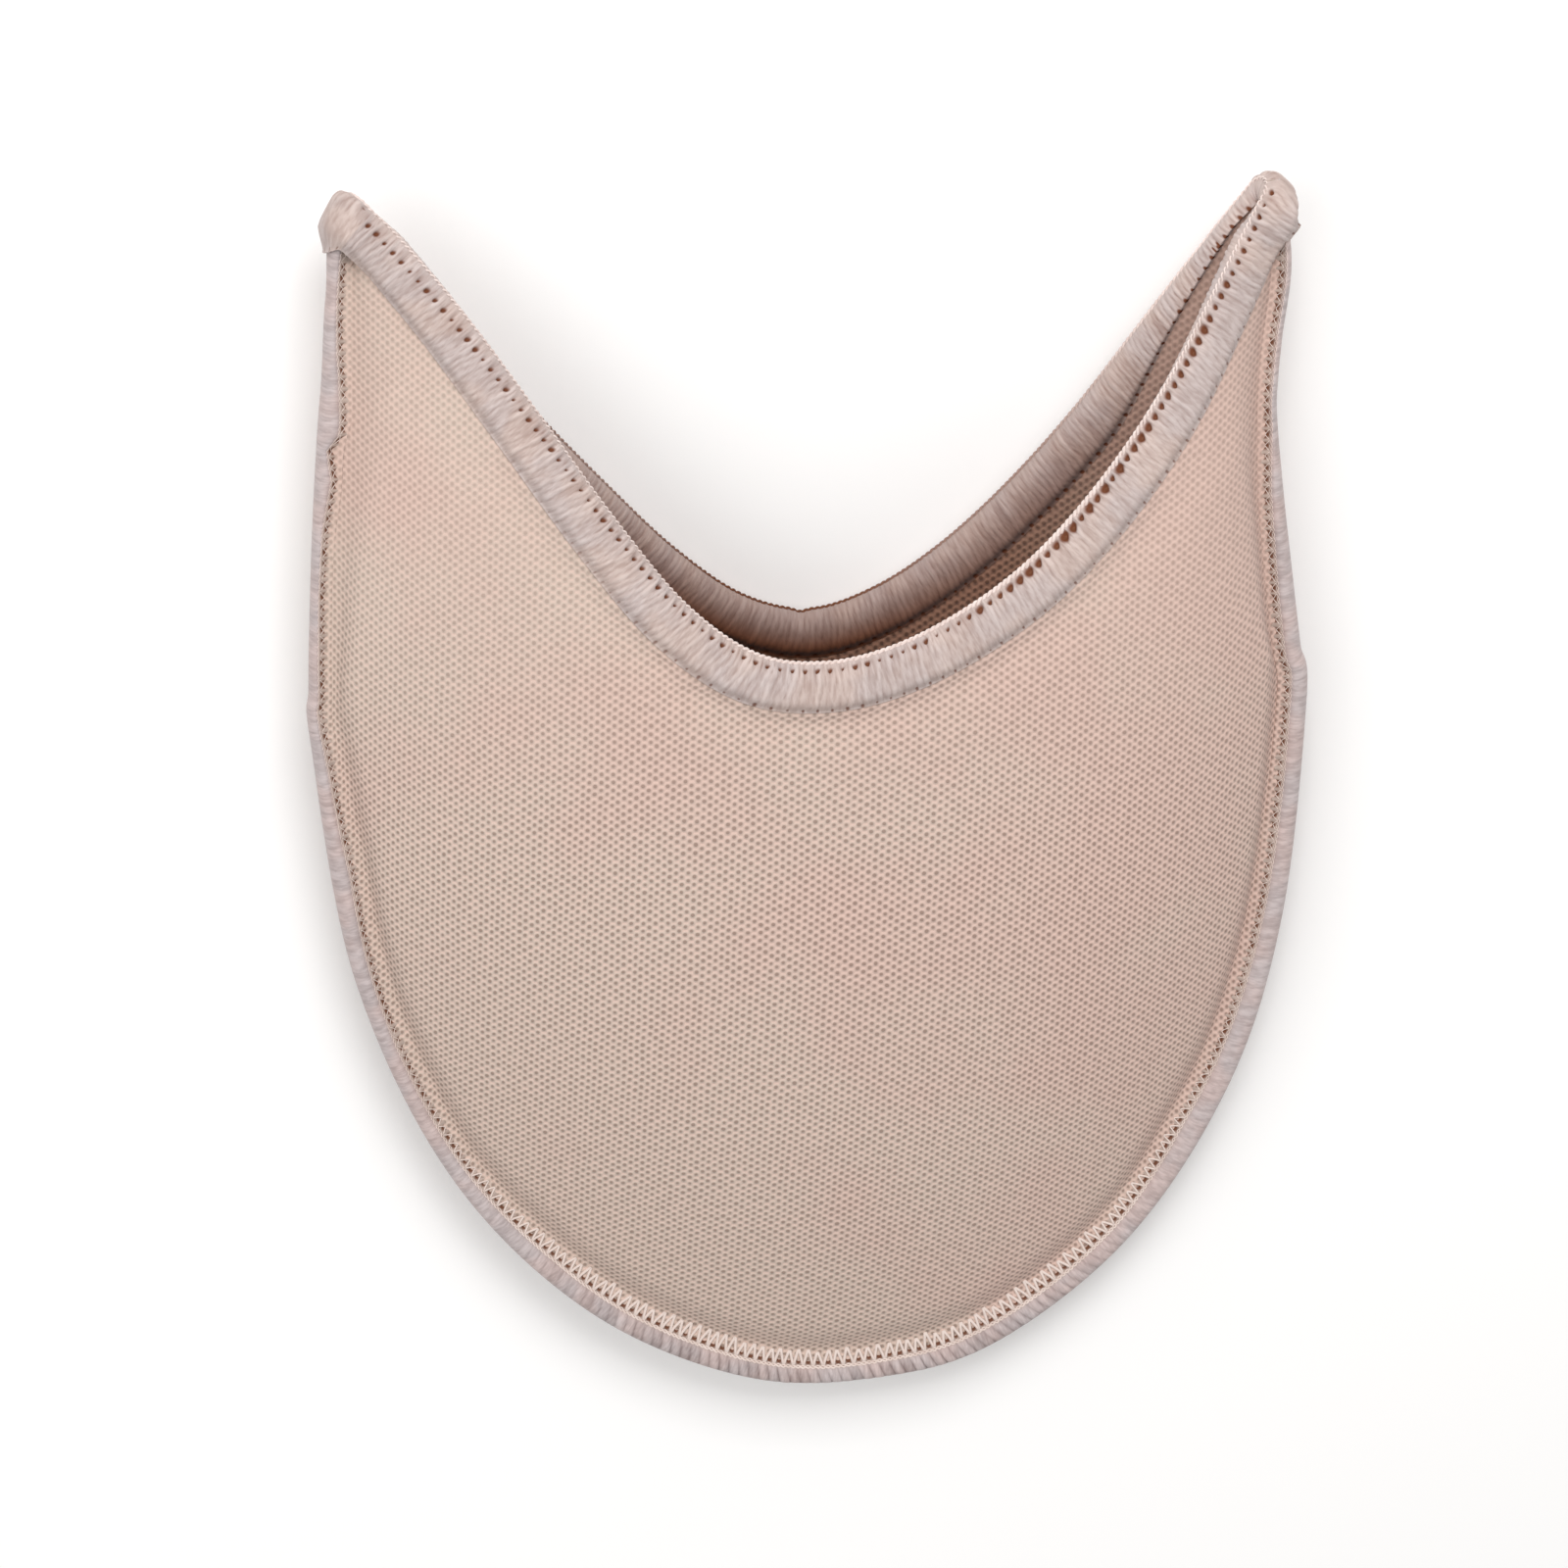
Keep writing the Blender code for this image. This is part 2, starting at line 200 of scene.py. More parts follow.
def seam_path():
    """Outer edge of the side seam from the left horn tip round the toe to the right one."""
    half = WIDTH / 2
    rise = HORN_RISE * column(SIDE_LINE, SIDE_COLUMNS, "rise")
    left = np.column_stack((HORN_LEAN * column(SIDE_LINE, SIDE_COLUMNS, "left") - half, rise))
    right = np.column_stack((half - HORN_LEAN * column(SIDE_LINE, SIDE_COLUMNS, "right"), rise))
    turn = np.radians(column(TOE_LINE, TOE_COLUMNS, "turn"))
    fullness = column(TOE_LINE, TOE_COLUMNS, "fullness")
    toe = np.column_stack((-half * np.cos(turn), -TOE_DEPTH * np.sin(turn))) * fullness[:, None]
    return smooth(np.vstack((left, toe, right[::-1])))


def rim_path(side):
    """Edge of one rim of the mouth, from the left horn tip to the right one."""
    across = (WIDTH / 2 - HORN_LEAN) * column(RIM_LINE, RIM_COLUMNS, "across")
    left = SCOOP_DEPTH * (column(RIM_LINE, RIM_COLUMNS, side + "_left") - 1) + HORN_RISE
    right = SCOOP_DEPTH * (column(RIM_LINE, RIM_COLUMNS, side + "_right") - 1) + HORN_RISE
    outer = np.column_stack((-across, left))[::-1]
    return smooth(np.vstack((outer, np.column_stack((across, right))[1:])))


def rim_shares(seam_shares, seam_length, rim_length):
    """Where on the rim the ribs end: as far from a horn tip as on the seam, then slower."""
    near = rim_length / seam_length
    out = 1 - np.abs(2 * seam_shares - 1)
    share = (np.sqrt(near**2 + 4 * (1 - near) * out) - near) / (2 * (1 - near))
    return np.where(seam_shares < 0.5, share / 2, 1 - share / 2)


def inward(path, shares, sense):
    """Level unit vectors square to a path, turned by sense towards the cloth."""
    ahead = at_shares(path, np.clip(shares + TANGENT_STEP, 0, 1))
    tangent = ahead - at_shares(path, np.clip(shares - TANGENT_STEP, 0, 1))
    turned = np.column_stack((-tangent[:, 1], tangent[:, 0])) * sense
    return unit(np.column_stack((turned, np.zeros(len(turned)))))


seam = seam_path()
rims = {"front": rim_path("front"), "back": rim_path("back")}
SEAM_LENGTH = arc_lengths(seam)[-1]
RIM_LENGTH = arc_lengths(rims["front"])[-1]

# The drawn lines lie where the frame's side seam lies
seam_low, seam_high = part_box("side_seam_binding")
shift = np.array((seam_low.x, seam_low.y)) - seam.min(axis=0)
seam_heights_from = seam.min(axis=0)[1] + shift[1]


def seam_heights(plan):
    """Height of the seam's middle, rising from the toe to the horns."""
    share = (plan[:, 1] + TOE_DEPTH) / (TOE_DEPTH + HORN_RISE)
    return TOE_SEAM_HEIGHT + (HORN_HEIGHT - TOE_SEAM_HEIGHT) * share


def rim_heights(shares, side):
    """Height of a rim's middle: arched over the front, low along the back."""
    out = np.abs(2 * shares - 1) / (1 - 2 * TURN_SETBACK / RIM_LENGTH)
    open_share = np.clip(1 - out**2, 0, 1) ** RIM_ARCH
    horn = HORN_HEIGHT + SIDES[side] * TURN_RADIUS
    low = RIM_CLOTH / 2 + CLEARANCE + THREAD + CLEARANCE
    middle = CROWN_HEIGHT if side == "front" else low
    return horn + (middle - horn) * open_share


def placed(plan, heights):
    """Points of the drawn lines, moved to where the frame has them."""
    return np.column_stack((plan + shift, heights))


def nearness(seam_shares, reach):
    """1 at the horns, falling to 0 at this share of the seam's half length."""
    start = PANEL_SETBACK / SEAM_LENGTH
    out = np.minimum(seam_shares, 1 - seam_shares) - start
    return 1 - ease(out / (reach / 2))


def ribbed_width(shares):
    """How far the side seam's ribs reach in from its edge."""
    along = column(RIBBED_LINE, RIBBED_COLUMNS, "along")
    return np.interp(shares, along, column(RIBBED_LINE, RIBBED_COLUMNS, "width") * MM)


def flange_depth(shares):
    return ribbed_width(shares) + HOLE_ROW


def seam_frames(shares):
    """Points on the seam's outer edge, the way into the cloth and the flange's depth."""
    plan = at_shares(seam, shares)
    return placed(plan, seam_heights(plan)), inward(seam, shares, 1.0), flange_depth(shares)


def rim_points(side, shares):
    return placed(at_shares(rims[side], shares), rim_heights(shares, side))


def seam_strip_end(side, shares):
    """Where a panel leaves the side seam's stitches."""
    points, into, flange = seam_frames(shares)
    level = UP * SIDES[side] * (CLEARANCE + SEAM_CLOTH) / 2
    return points + level + into * (flange[:, None] + CLEARANCE)


def rim_frames(side, shares, near, chord):
    """A rim's edge points, the way into the cloth, its outer normal and half its cloth."""
    points = rim_points(side, shares)
    level = inward(rims[side], shares, -1.0)
    into = unit(level * (1 - near[:, None]) + chord * near[:, None])
    along = np.gradient(points, axis=0)
    normal = unit(np.cross(into, along)) * SIDES[side]
    normal *= np.sign(normal[:, 2:3]) * SIDES[side]
    return points, into, normal, (RIM_CLOTH + (HORN_CLOTH - RIM_CLOTH) * near) / 2


def interior(side, start, end, t, lift):
    """A rib's points between its two stitched strips, at a share t of the way."""
    plan = start + (end - start) * t
    low, high = start[:, 2], end[:, 2]
    if side == "front":
        power = HORN_FULLNESS + (DOME_FULLNESS - HORN_FULLNESS) * (1 - lift)
        plan[:, 2] = low + (high - low) * (1 - (1 - t) ** power)
        return plan
    floor = PADDING / 2
    length = np.linalg.norm(end - start, axis=1)
    roll = np.minimum(FLOOR_ROLL, ROLL_SHARE * length)
    from_seam = np.clip(1 - t * length / roll, 0, 1) ** 2
    from_rim = np.clip(1 - (1 - t) * length / roll, 0, 1) ** 2
    resting = floor + (low - floor) * from_seam + (high - floor) * from_rim
    plan[:, 2] = resting * (1 - lift) + plan[:, 2] * lift
    return plan


def panel_middle(side):
    """Middle surface of a panel as a grid, with its normals and half thickness."""
    sign = SIDES[side]
    shares = np.linspace(PANEL_SETBACK / SEAM_LENGTH, 1 - PANEL_SETBACK / SEAM_LENGTH, STATIONS)
    across = rim_shares(shares, SEAM_LENGTH, RIM_LENGTH)
    near = nearness(shares, BAND_REACH)
    outer, into_seam, _ = seam_frames(shares)
    start = seam_strip_end(side, shares)
    chord = unit(start - rim_points(side, across))
    rim, into_rim, rim_normal, half_rim = rim_frames(side, across, near, chord)
    outer = outer + UP * sign * (CLEARANCE + SEAM_CLOTH) / 2
    edge = THREAD + CLEARANCE
    band = BAND_WIDTH + (HORN_BAND - BAND_WIDTH) * near
    end = rim + into_rim * (band[:, None] + CLEARANCE)
    lift = nearness(shares, LIFT_REACH)
    first = outer + into_seam * edge
    last = rim + into_rim * edge
    strip = [first] + [first + (start - first) * t for t in STRIP_SHARES]
    fall = [end + (last - end) * t for t in STRIP_SHARES] + [last]
    grid = np.array(strip + [interior(side, start, end, t, lift) for t in RIB_SHARES] + fall)
    normals = unit(np.cross(np.gradient(grid, axis=1), np.gradient(grid, axis=0)))
    normals *= np.sign(normals[:, :, 2:3]) * sign
    normals = unit(normals * (1 - near[:, None]) + UP * sign * near[:, None])
    head, tail = len(strip), -len(fall)
    normals[:head] = UP * sign
    normals[tail:] = rim_normal
    travel = np.linalg.norm(grid - grid[head], axis=2)
    back = np.linalg.norm(grid - grid[tail - 1], axis=2)
    run_in = PADDING_RUN_IN * (1 + HORN_RUN_IN * near)
    full = ease(travel / run_in) * ease(back / run_in)
    caught = SEAM_CLOTH / 2 + (half_rim - SEAM_CLOTH / 2) * ease(travel / np.maximum(travel + back, 1e-9))
    half = caught + (PADDING / 2 - caught) * full
    half[:head] = SEAM_CLOTH / 2
    half[tail:] = half_rim
    return grid, normals, half


def grid_faces(rows, columns, closed=False):
    """Corner indices of a grid's quads, row by row, joined into a ring if it is closed."""
    i, j = np.meshgrid(np.arange(rows - 1), np.arange(columns if closed else columns - 1), indexing="ij")
    k = (j + 1) % columns
    corners = (i * columns + j, i * columns + k, (i + 1) * columns + k, (i + 1) * columns + j)
    return np.stack(corners, axis=-1).reshape(-1, 4)


def add_piece(name, points, faces, corner_uvs, marks=None):
    """A smooth piece from its points and faces, with cloth coordinates in mm and marks."""
    mesh = bpy.data.meshes.new(name)
    mesh.from_pydata(np.asarray(points).tolist(), [], [list(face) for face in faces])
    layer = mesh.uv_layers.new(name="cloth")
    layer.uv.foreach_set("vector", np.asarray(corner_uvs, np.float32).ravel())
    for key, values in (marks or {}).items():
        mark = mesh.attributes.new(key, "FLOAT", "POINT")
        mark.data.foreach_set("value", np.asarray(values, np.float32))
    mesh.shade_smooth()
    piece = bpy.data.objects.new(name, mesh)
    bpy.context.scene.collection.objects.link(piece)
    return piece


def cloth_plan(grid):
    """The cloth laid flat, in mm, unrolled from the rim as far as the knit gives."""
    flat = np.zeros((*grid.shape[:2], 2))
    flat[-1] = grid[-1, :, :2]
    for i in range(len(grid) - 2, -1, -1):
        step = grid[i] - grid[i + 1]
        level = np.linalg.norm(step[:, :2], axis=1)
        run = np.minimum(np.linalg.norm(step, axis=1), KNIT_GIVE * level)
        flat[i] = flat[i + 1] + unit(step[:, :2] + 1e-9) * run[:, None]
    flat = flat @ np.array(((1.0, GRAIN_DRIFT), (-GRAIN_TURN, 1.0))) / MM
    flat[:, :, 0] += SIDE_GATHER * flat[:, :, 0] ** 3
    return flat


def add_panel(name, side):
    """A padded panel: its two faces, closed along all four edges."""
    grid, normals, half = panel_middle(side)
    rows, columns = half.shape
    outer = (grid + normals * half[:, :, None]).reshape(-1, 3)
    inner = (grid - normals * half[:, :, None]).reshape(-1, 3)
    faces = grid_faces(rows, columns)
    turned = faces[:, ::-1]
    top, under = (turned, faces) if side == "front" else (faces, turned)
    ring = [(0, j) for j in range(columns)] + [(i, columns - 1) for i in range(1, rows)]
    ring += [(rows - 1, j) for j in range(columns - 2, -1, -1)] + [(i, 0) for i in range(rows - 2, 0, -1)]
    ring = np.array([i * columns + j for i, j in ring])
    nxt = np.roll(ring, -1)
    count = rows * columns
    walls = np.stack((ring, nxt, nxt + count, ring + count), axis=1)
    if side == "back":
        walls = walls[:, ::-1]
    faces = np.vstack((top, under + count, walls))
    flat = np.vstack([cloth_plan(grid).reshape(-1, 2)] * 2)
    # The inner face's 'inside' mark: painted shade over the whole inner face, weaker towards the horn tips
    horn_near = nearness(np.linspace(0, 1, columns), HORN_PALE_REACH)
    inside = np.tile(1 - HORN_PALE * horn_near, rows)
    marks = {"inside": np.concatenate((np.zeros(count), inside))}
    piece = add_piece(name, np.vstack((outer, inner)), faces, flat[faces.ravel()], marks)
    pinned = np.zeros((rows, columns), bool)
    pinned[: len(STRIP_SHARES) + 2] = True
    pinned[-len(STRIP_SHARES) - 2 :] = True
    pinned[:, :2] = True
    pinned[:, -2:] = True
    shares = np.linspace(PANEL_SETBACK / SEAM_LENGTH, 1 - PANEL_SETBACK / SEAM_LENGTH, columns)
    room = np.tile(1 - nearness(shares, LIFT_REACH), rows)
    return piece, np.tile(pinned.ravel(), 2), np.concatenate((room, INNER_SWELL * room))


SWELL_SCALE = 20.0
SWELL_PRESSURE = 3.0
SWELL_FRAMES = 20
SWELL_CAP = 0.45 * MM


def swell(piece, pinned, room):
    """Lets the padding swell between its seams: a cloth simulation, capped and applied."""
    mesh = piece.data
    rest = np.array([v.co for v in mesh.vertices])
    mesh.transform(Matrix.Scale(SWELL_SCALE, 4))
    group = piece.vertex_groups.new(name="sewn")
    group.add([int(i) for i in np.flatnonzero(pinned)], 1.0, "REPLACE")
    cloth = piece.modifiers.new("swell", "CLOTH")
    cloth.settings.vertex_group_mass = "sewn"
    cloth.settings.use_pressure = True
    cloth.settings.uniform_pressure_force = SWELL_PRESSURE
    cloth.settings.effector_weights.gravity = 0.0
    cloth.settings.tension_stiffness = 25.0
    cloth.settings.compression_stiffness = 25.0
    cloth.settings.bending_stiffness = 2.0
    cloth.collision_settings.use_collision = False
    scene = bpy.context.scene
    for step in range(1, SWELL_FRAMES + 1):
        scene.frame_set(step)
    seen = piece.evaluated_get(bpy.context.evaluated_depsgraph_get())
    swollen = np.array([v.co for v in seen.data.vertices]) / SWELL_SCALE
    piece.modifiers.clear()
    piece.vertex_groups.clear()
    scene.frame_set(1)
    move = (swollen - rest) * room[:, None]
    length = np.linalg.norm(move, axis=1, keepdims=True)
    move *= SWELL_CAP * np.tanh(length / SWELL_CAP) / np.maximum(length, 1e-9)
    shaped = rest + move
    shaped[:, 2] = np.maximum(shaped[:, 2], 0.0)
    mesh.vertices.foreach_set("co", shaped.astype(np.float32).ravel())
    mesh.update()


def refine(piece, levels):
    """Subdivides a piece smoothly, the same in the viewport and the render."""
    modifier = piece.modifiers.new("fine", "SUBSURF")
    modifier.levels = levels
    modifier.render_levels = levels


class Maker:
    """Adds nodes to one node tree and links values into them."""

    def __init__(self, tree):
        self.tree = tree

    def node(self, kind, **settings):
        made = self.tree.nodes.new(kind)
        for key, value in settings.items():
            setattr(made, key, value)
        return made

    def feed(self, socket, value):
        if isinstance(value, bpy.types.NodeSocket):
            self.tree.links.new(value, socket)
        else:
            socket.default_value = value

    def math(self, operation, *values):
        made = self.node("ShaderNodeMath", operation=operation)
        for socket, value in zip(made.inputs, values):
            self.feed(socket, value)
        return made.outputs[0]

    def mix(self, share, first, second):
        made = self.node("ShaderNodeMix", data_type="RGBA")
        self.feed(made.inputs[0], share)
        self.feed(made.inputs[6], first)
        self.feed(made.inputs[7], second)
        return made.outputs[2]

    def between(self, value, low, high, first=0.0, last=1.0):
        """A smooth step of value, from first at low to last at high."""
        made = self.node("ShaderNodeMapRange", interpolation_type="SMOOTHSTEP")
        for socket, number in zip(made.inputs[:5], (value, low, high, first, last)):
            self.feed(socket, number)
        return made.outputs[0]

    def noise(self, vector, scale, detail=2.0):
        made = self.node("ShaderNodeTexNoise")
        self.feed(made.inputs["Vector"], vector)
        self.feed(made.inputs["Scale"], scale)
        self.feed(made.inputs["Detail"], detail)
        return made

    def placed(self, name, values):
        """A shader node group with these values, and its outputs by name."""
        made = self.node("ShaderNodeGroup")
        made.node_tree = bpy.data.node_groups[name]
        for key, value in values.items():
            self.feed(made.inputs[key], value)
        return made.outputs


def new_group(name, inputs, outputs):
    """An empty shader node group, its maker, and its inner input and output sockets."""
    group = bpy.data.node_groups.new(name, "ShaderNodeTree")
    for way, sockets in (("INPUT", inputs), ("OUTPUT", outputs)):
        for key, kind in sockets.items():
            group.interface.new_socket(key, in_out=way, socket_type="NodeSocket" + kind)
    maker = Maker(group)
    given = maker.node("NodeGroupInput")
    result = maker.node("NodeGroupOutput")
    return maker, given.outputs, result.inputs


def warp_knit_group():
    """Staggered rows of pin holes between loops of fine yarn, slightly uneven."""
    inputs = {"Cloth": "Vector", "Wale": "Float", "Course": "Float", "Unevenness": "Float"}
    inputs.update({"Calm From": "Float", "Calm To": "Float", "Vivid": "Float"})
    outputs = {"Hole": "Float", "Loop": "Float", "Height": "Float"}
    maker, given, result = new_group("warp_knit", inputs, outputs)
    drift = maker.noise(given["Cloth"], 0.35, 2.0)
    centred = maker.node("ShaderNodeVectorMath", operation="SUBTRACT")
    maker.feed(centred.inputs[0], drift.outputs["Color"])
    centred.inputs[1].default_value = (0.5, 0.5, 0.5)
    moved = maker.node("ShaderNodeVectorMath", operation="MULTIPLY_ADD")
    maker.feed(moved.inputs[0], centred.outputs[0])
    spread = maker.node("ShaderNodeCombineXYZ")
    for socket in spread.inputs[:2]:
        maker.feed(socket, given["Unevenness"])
    maker.feed(moved.inputs[1], spread.outputs[0])
    maker.feed(moved.inputs[2], given["Cloth"])
    parts = maker.node("ShaderNodeSeparateXYZ")
    maker.feed(parts.inputs[0], moved.outputs[0])
    wave_x = maker.math("COSINE", maker.math("DIVIDE", parts.outputs[0], given["Wale"]))
    wave_y = maker.math("COSINE", maker.math("DIVIDE", parts.outputs[1], given["Course"]))
    lattice = maker.math("MULTIPLY", wave_x, wave_y)
    columns = maker.math("COSINE", maker.math("DIVIDE", maker.math("MULTIPLY", parts.outputs[0], 2.0), given["Wale"]))
    weave = maker.math("MULTIPLY_ADD", columns, 0.26, lattice)
    uneven = maker.noise(given["Cloth"], 1.3, 1.0).outputs["Fac"]
    size = maker.between(uneven, 0.3, 0.7, -0.22, 0.22)
    hole = maker.between(maker.math("ADD", weave, size), 0.05, 1.05)
    loop = maker.between(maker.math("ADD", weave, size), 0.25, -1.0)
    along = maker.node("ShaderNodeSeparateXYZ")
    maker.feed(along.inputs[0], given["Cloth"])
    calm = maker.between(along.outputs[1], given["Calm From"], given["Calm To"], 0.95, 0.42)
    calm = maker.math("MAXIMUM", calm, given["Vivid"])
    hole = maker.math("MULTIPLY", hole, calm)
    loop = maker.math("MULTIPLY", loop, maker.math("MULTIPLY_ADD", calm, 0.5, 0.5))
    fibre = maker.noise(given["Cloth"], 9.0, 2.0).outputs["Fac"]
    raised = maker.math("MULTIPLY_ADD", fibre, 0.25, loop)
    maker.feed(result["Hole"], hole)
    maker.feed(result["Loop"], loop)
    maker.feed(result["Height"], maker.math("SUBTRACT", raised, hole))


warp_knit_group()

KNIT_WALE = 1.07
KNIT_COURSE = 0.72
KNIT_ROUGHNESS = 0.92
KNIT_DEPTH = 0.10 * MM
CALM_FROM = -4.0
CALM_TO = 34.0
LOOP_PALENESS = 1.3
LOOP_SHARE = 0.7
TINT_DRIFT = 0.004
TINT_RISE = 0.0028


def knit_material(name, rosy, sallow, hole, within, tint_depth):
    """Nude warp knit: rosy and sallow blotches, darker in its pin holes, with painted shade on its inner face."""
    material = bpy.data.materials.new(name)
    material.use_nodes = True
    maker = Maker(material.node_tree)
    shader = material.node_tree.nodes["Principled BSDF"]
    shader.inputs["Roughness"].default_value = KNIT_ROUGHNESS
    shader.inputs["Specular IOR Level"].default_value = 0.25
    shader.inputs["Sheen Weight"].default_value = 0.12
    shader.inputs["Sheen Roughness"].default_value = 0.5
    cloth = maker.node("ShaderNodeUVMap", uv_map="cloth").outputs[0]
    inner = maker.node("ShaderNodeAttribute", attribute_name="inside").outputs["Fac"]
    knit = maker.placed(
        "warp_knit",
        {
            "Cloth": cloth,
            "Wale": KNIT_WALE / (2 * np.pi),
            "Course": KNIT_COURSE / (2 * np.pi),
            "Unevenness": 0.3,
            "Calm From": CALM_FROM,
            "Calm To": CALM_TO,
            "Vivid": inner,
        },
    )
    across = maker.node("ShaderNodeSeparateXYZ")
    maker.feed(across.inputs[0], cloth)
    patches = maker.noise(cloth, 0.055, 3.0).outputs["Fac"]
    drift = maker.math("MULTIPLY_ADD", across.outputs[0], TINT_DRIFT, patches)
    drift = maker.math("MULTIPLY_ADD", across.outputs[1], TINT_RISE, drift)
    blotch = maker.between(drift, 0.30, 0.70)
    base = maker.mix(blotch, (*sallow, 1), (*rosy, 1))
    pale = [LOOP_PALENESS * channel for channel in rosy]
    light = maker.mix(maker.math("MULTIPLY", knit["Loop"], LOOP_SHARE), base, (*pale, 1))
    dark = maker.mix(maker.math("MULTIPLY", knit["Hole"], tint_depth), light, (*hole, 1))
    # Painted shade: where the 'inside' mark is set, the colour is multiplied by the within colour
    inner_shaded = maker.node("ShaderNodeMix", data_type="RGBA", blend_type="MULTIPLY")
    maker.feed(inner_shaded.inputs[0], inner)
    maker.feed(inner_shaded.inputs[6], dark)
    maker.feed(inner_shaded.inputs[7], (*within, 1))
    maker.feed(shader.inputs["Base Color"], inner_shaded.outputs[2])
    bump = maker.node("ShaderNodeBump")
    bump.inputs["Strength"].default_value = 0.6
    bump.inputs["Distance"].default_value = KNIT_DEPTH
    maker.feed(bump.inputs["Height"], knit["Height"])
    maker.feed(shader.inputs["Normal"], bump.outputs[0])
    return material


KNIT_ROSY = (0.56, 0.405, 0.348)
KNIT_SALLOW = (0.55, 0.445, 0.378)
KNIT_HOLE = (0.22, 0.14, 0.11)
# Painted shade on the panels' inner face
KNIT_INNER_SHADE = (0.46, 0.33, 0.26)  # share of the outer face's colour on the inner face

front_pad, sewn, room = add_panel("front_pad", "front")
swell(front_pad, sewn, room)
refine(front_pad, 1)
front_pad.data.materials.append(knit_material("front knit", KNIT_ROSY, KNIT_SALLOW, KNIT_HOLE, KNIT_INNER_SHADE, 0.75))
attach(front_pad, "root")
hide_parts("front_panel")

# Back panel
# The same padded knit, cut to the same shield, lying flat along its belly and rolled up to the
# side seam and the horns. Its inner face shows through the mouth and carries painted shade in there.
back_pad, sewn, room = add_panel("back_pad", "back")
swell(back_pad, sewn, room)
refine(back_pad, 1)
back_pad.data.materials.append(knit_material("back knit", KNIT_ROSY, KNIT_SALLOW, KNIT_HOLE, KNIT_INNER_SHADE, 0.8))
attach(back_pad, "root")
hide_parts("back_panel")

# Mouth binding
# A dense overlock of bulky textured thread over the whole mouth, front rim, both horn tips and
# back rim. Its needle holes sit in a row just inside a corded edge, and its ribs lean.
STITCH = 1.03 * MM
STEPS_PER_STITCH = 9
HORN_INNER_BAND = 1.2 * MM
TURN_SLOT = 0.15 * MM
TURN_SLOT_DEPTH = 0.2 * MM
LEFT_TURN_WIDENING = 0.30
RIGHT_TURN_WIDENING = -0.18
LEFT_TURN_LEAN = 1.6
RIGHT_TURN_LEAN = 0.9
TURN_STEPS = 6
RIM_STATIONS = 52
BAND_SETBACK = 7.8 * MM
CAP_ANGLES = np.radians((-80, -55, -30, -15, 0, 8, 16, 24, 32, 40, 48, 56, 64, 72, 80))
FACE_SHARES = np.array((0.1, 0.22, 0.36, 0.5, 0.64, 0.76, 0.85, 0.91, 0.95, 0.98, 1.0))
RIB_HEIGHT = 0.12 * MM
RIB_WANDER = 0.16
HOLE_SHARES = (0.0, 0.12, 0.35, 0.5, 1.0)  # of the front rim, from its left end
HOLE_TURNS = (1.1, 0.95, 0.7, 0.6, 0.5)  # how far over the edge the holes lie, in radians
HOLE_ALONG = 0.22 * MM
HOLE_ACROSS = 0.29 * MM
HOLE_SINK = 0.42 * MM
BIG_HOLE_GROWTH = 1.15
HOLE_SLANT = 0.2
# How much painted shade darkens the grooves between ribs
GROOVE_DARK = 0.75
GROOVE_REACH = 1.1 * MM
HALF_TURN = 90.0
NEEDLE_ALONG = 0.15 * MM
NEEDLE_ACROSS = 0.24 * MM
NEEDLE_SINK = 0.09 * MM
PRICK_SHARES = (0.0, 0.3, 0.45, 1.0)
PRICK_FAINT = (1.15, 0.9, 0.72, 0.85)  # of the outer pricks, fainter above 1
NEEDLE_SETBACK = 0.22 * MM
EDGE_LIFT = 0.10 * MM
SNUG = 0.06 * MM
INSIDE_CALM = 0.35
PINCH_X = -0.4 * MM
PINCH_DENT = 0.22 * MM
PINCH_WIDTH = 0.6 * MM
PINCH_LEAN = 0.25
PINCH_LINE = 0.10 * MM
PINCH_DEEP = 1.8 * MM
PINCH_DARK = 0.55
SLIT_X = 34.0 * MM
SLIT_MIDDLE = 1.7 * MM
SLIT_HALF = 0.8 * MM
SLIT_WIDTH = 0.10 * MM
SLIT_LEAN = 0.2
dice = np.random.default_rng(7)


def rim_sections(side):
    """The band's sections over one rim, from the left horn to the right one."""
    lead = TURN_SETBACK / RIM_LENGTH
    setback = BAND_SETBACK / SEAM_LENGTH
    shares = np.linspace(setback, 1 - setback, RIM_STATIONS)
    across = rim_shares(shares, SEAM_LENGTH, RIM_LENGTH)
    leads = np.array((lead, (lead + across[0]) / 2))
    near = nearness(shares, BAND_REACH)
    closed = np.array((1.0, 0.5))
    shut = np.concatenate((closed, np.zeros(RIM_STATIONS), closed[::-1]))
    turning = np.concatenate((1 - closed, near, (1 - closed)[::-1]))
    chord = unit(seam_strip_end(side, shares) - rim_points(side, across))
    chord = np.vstack((chord[:1], chord[:1], chord, chord[-1:], chord[-1:]))
    rim = np.concatenate((leads, across, 1 - leads[::-1]))
    points, into, normal, _ = rim_frames(side, rim, turning, chord)
    cloth_near = np.concatenate((np.ones(2), near, np.ones(2)))
    half_cloth = (RIM_CLOTH + (HORN_CLOTH - RIM_CLOTH) * cloth_near) / 2
    sizes = np.column_stack(
        (
            BAND_WIDTH + (HORN_BAND - BAND_WIDTH) * cloth_near,
            BAND_WIDTH + (HORN_INNER_BAND - BAND_WIDTH) * cloth_near,
            half_cloth + CLEARANCE + THREAD,
            (half_cloth + SNUG) * (1 - shut) + TURN_SLOT * shut,
            THREAD * (1 - shut) + (HORN_INNER_BAND - TURN_SLOT_DEPTH) * shut,
        )
    )
    return np.hstack((points, into, normal, sizes))


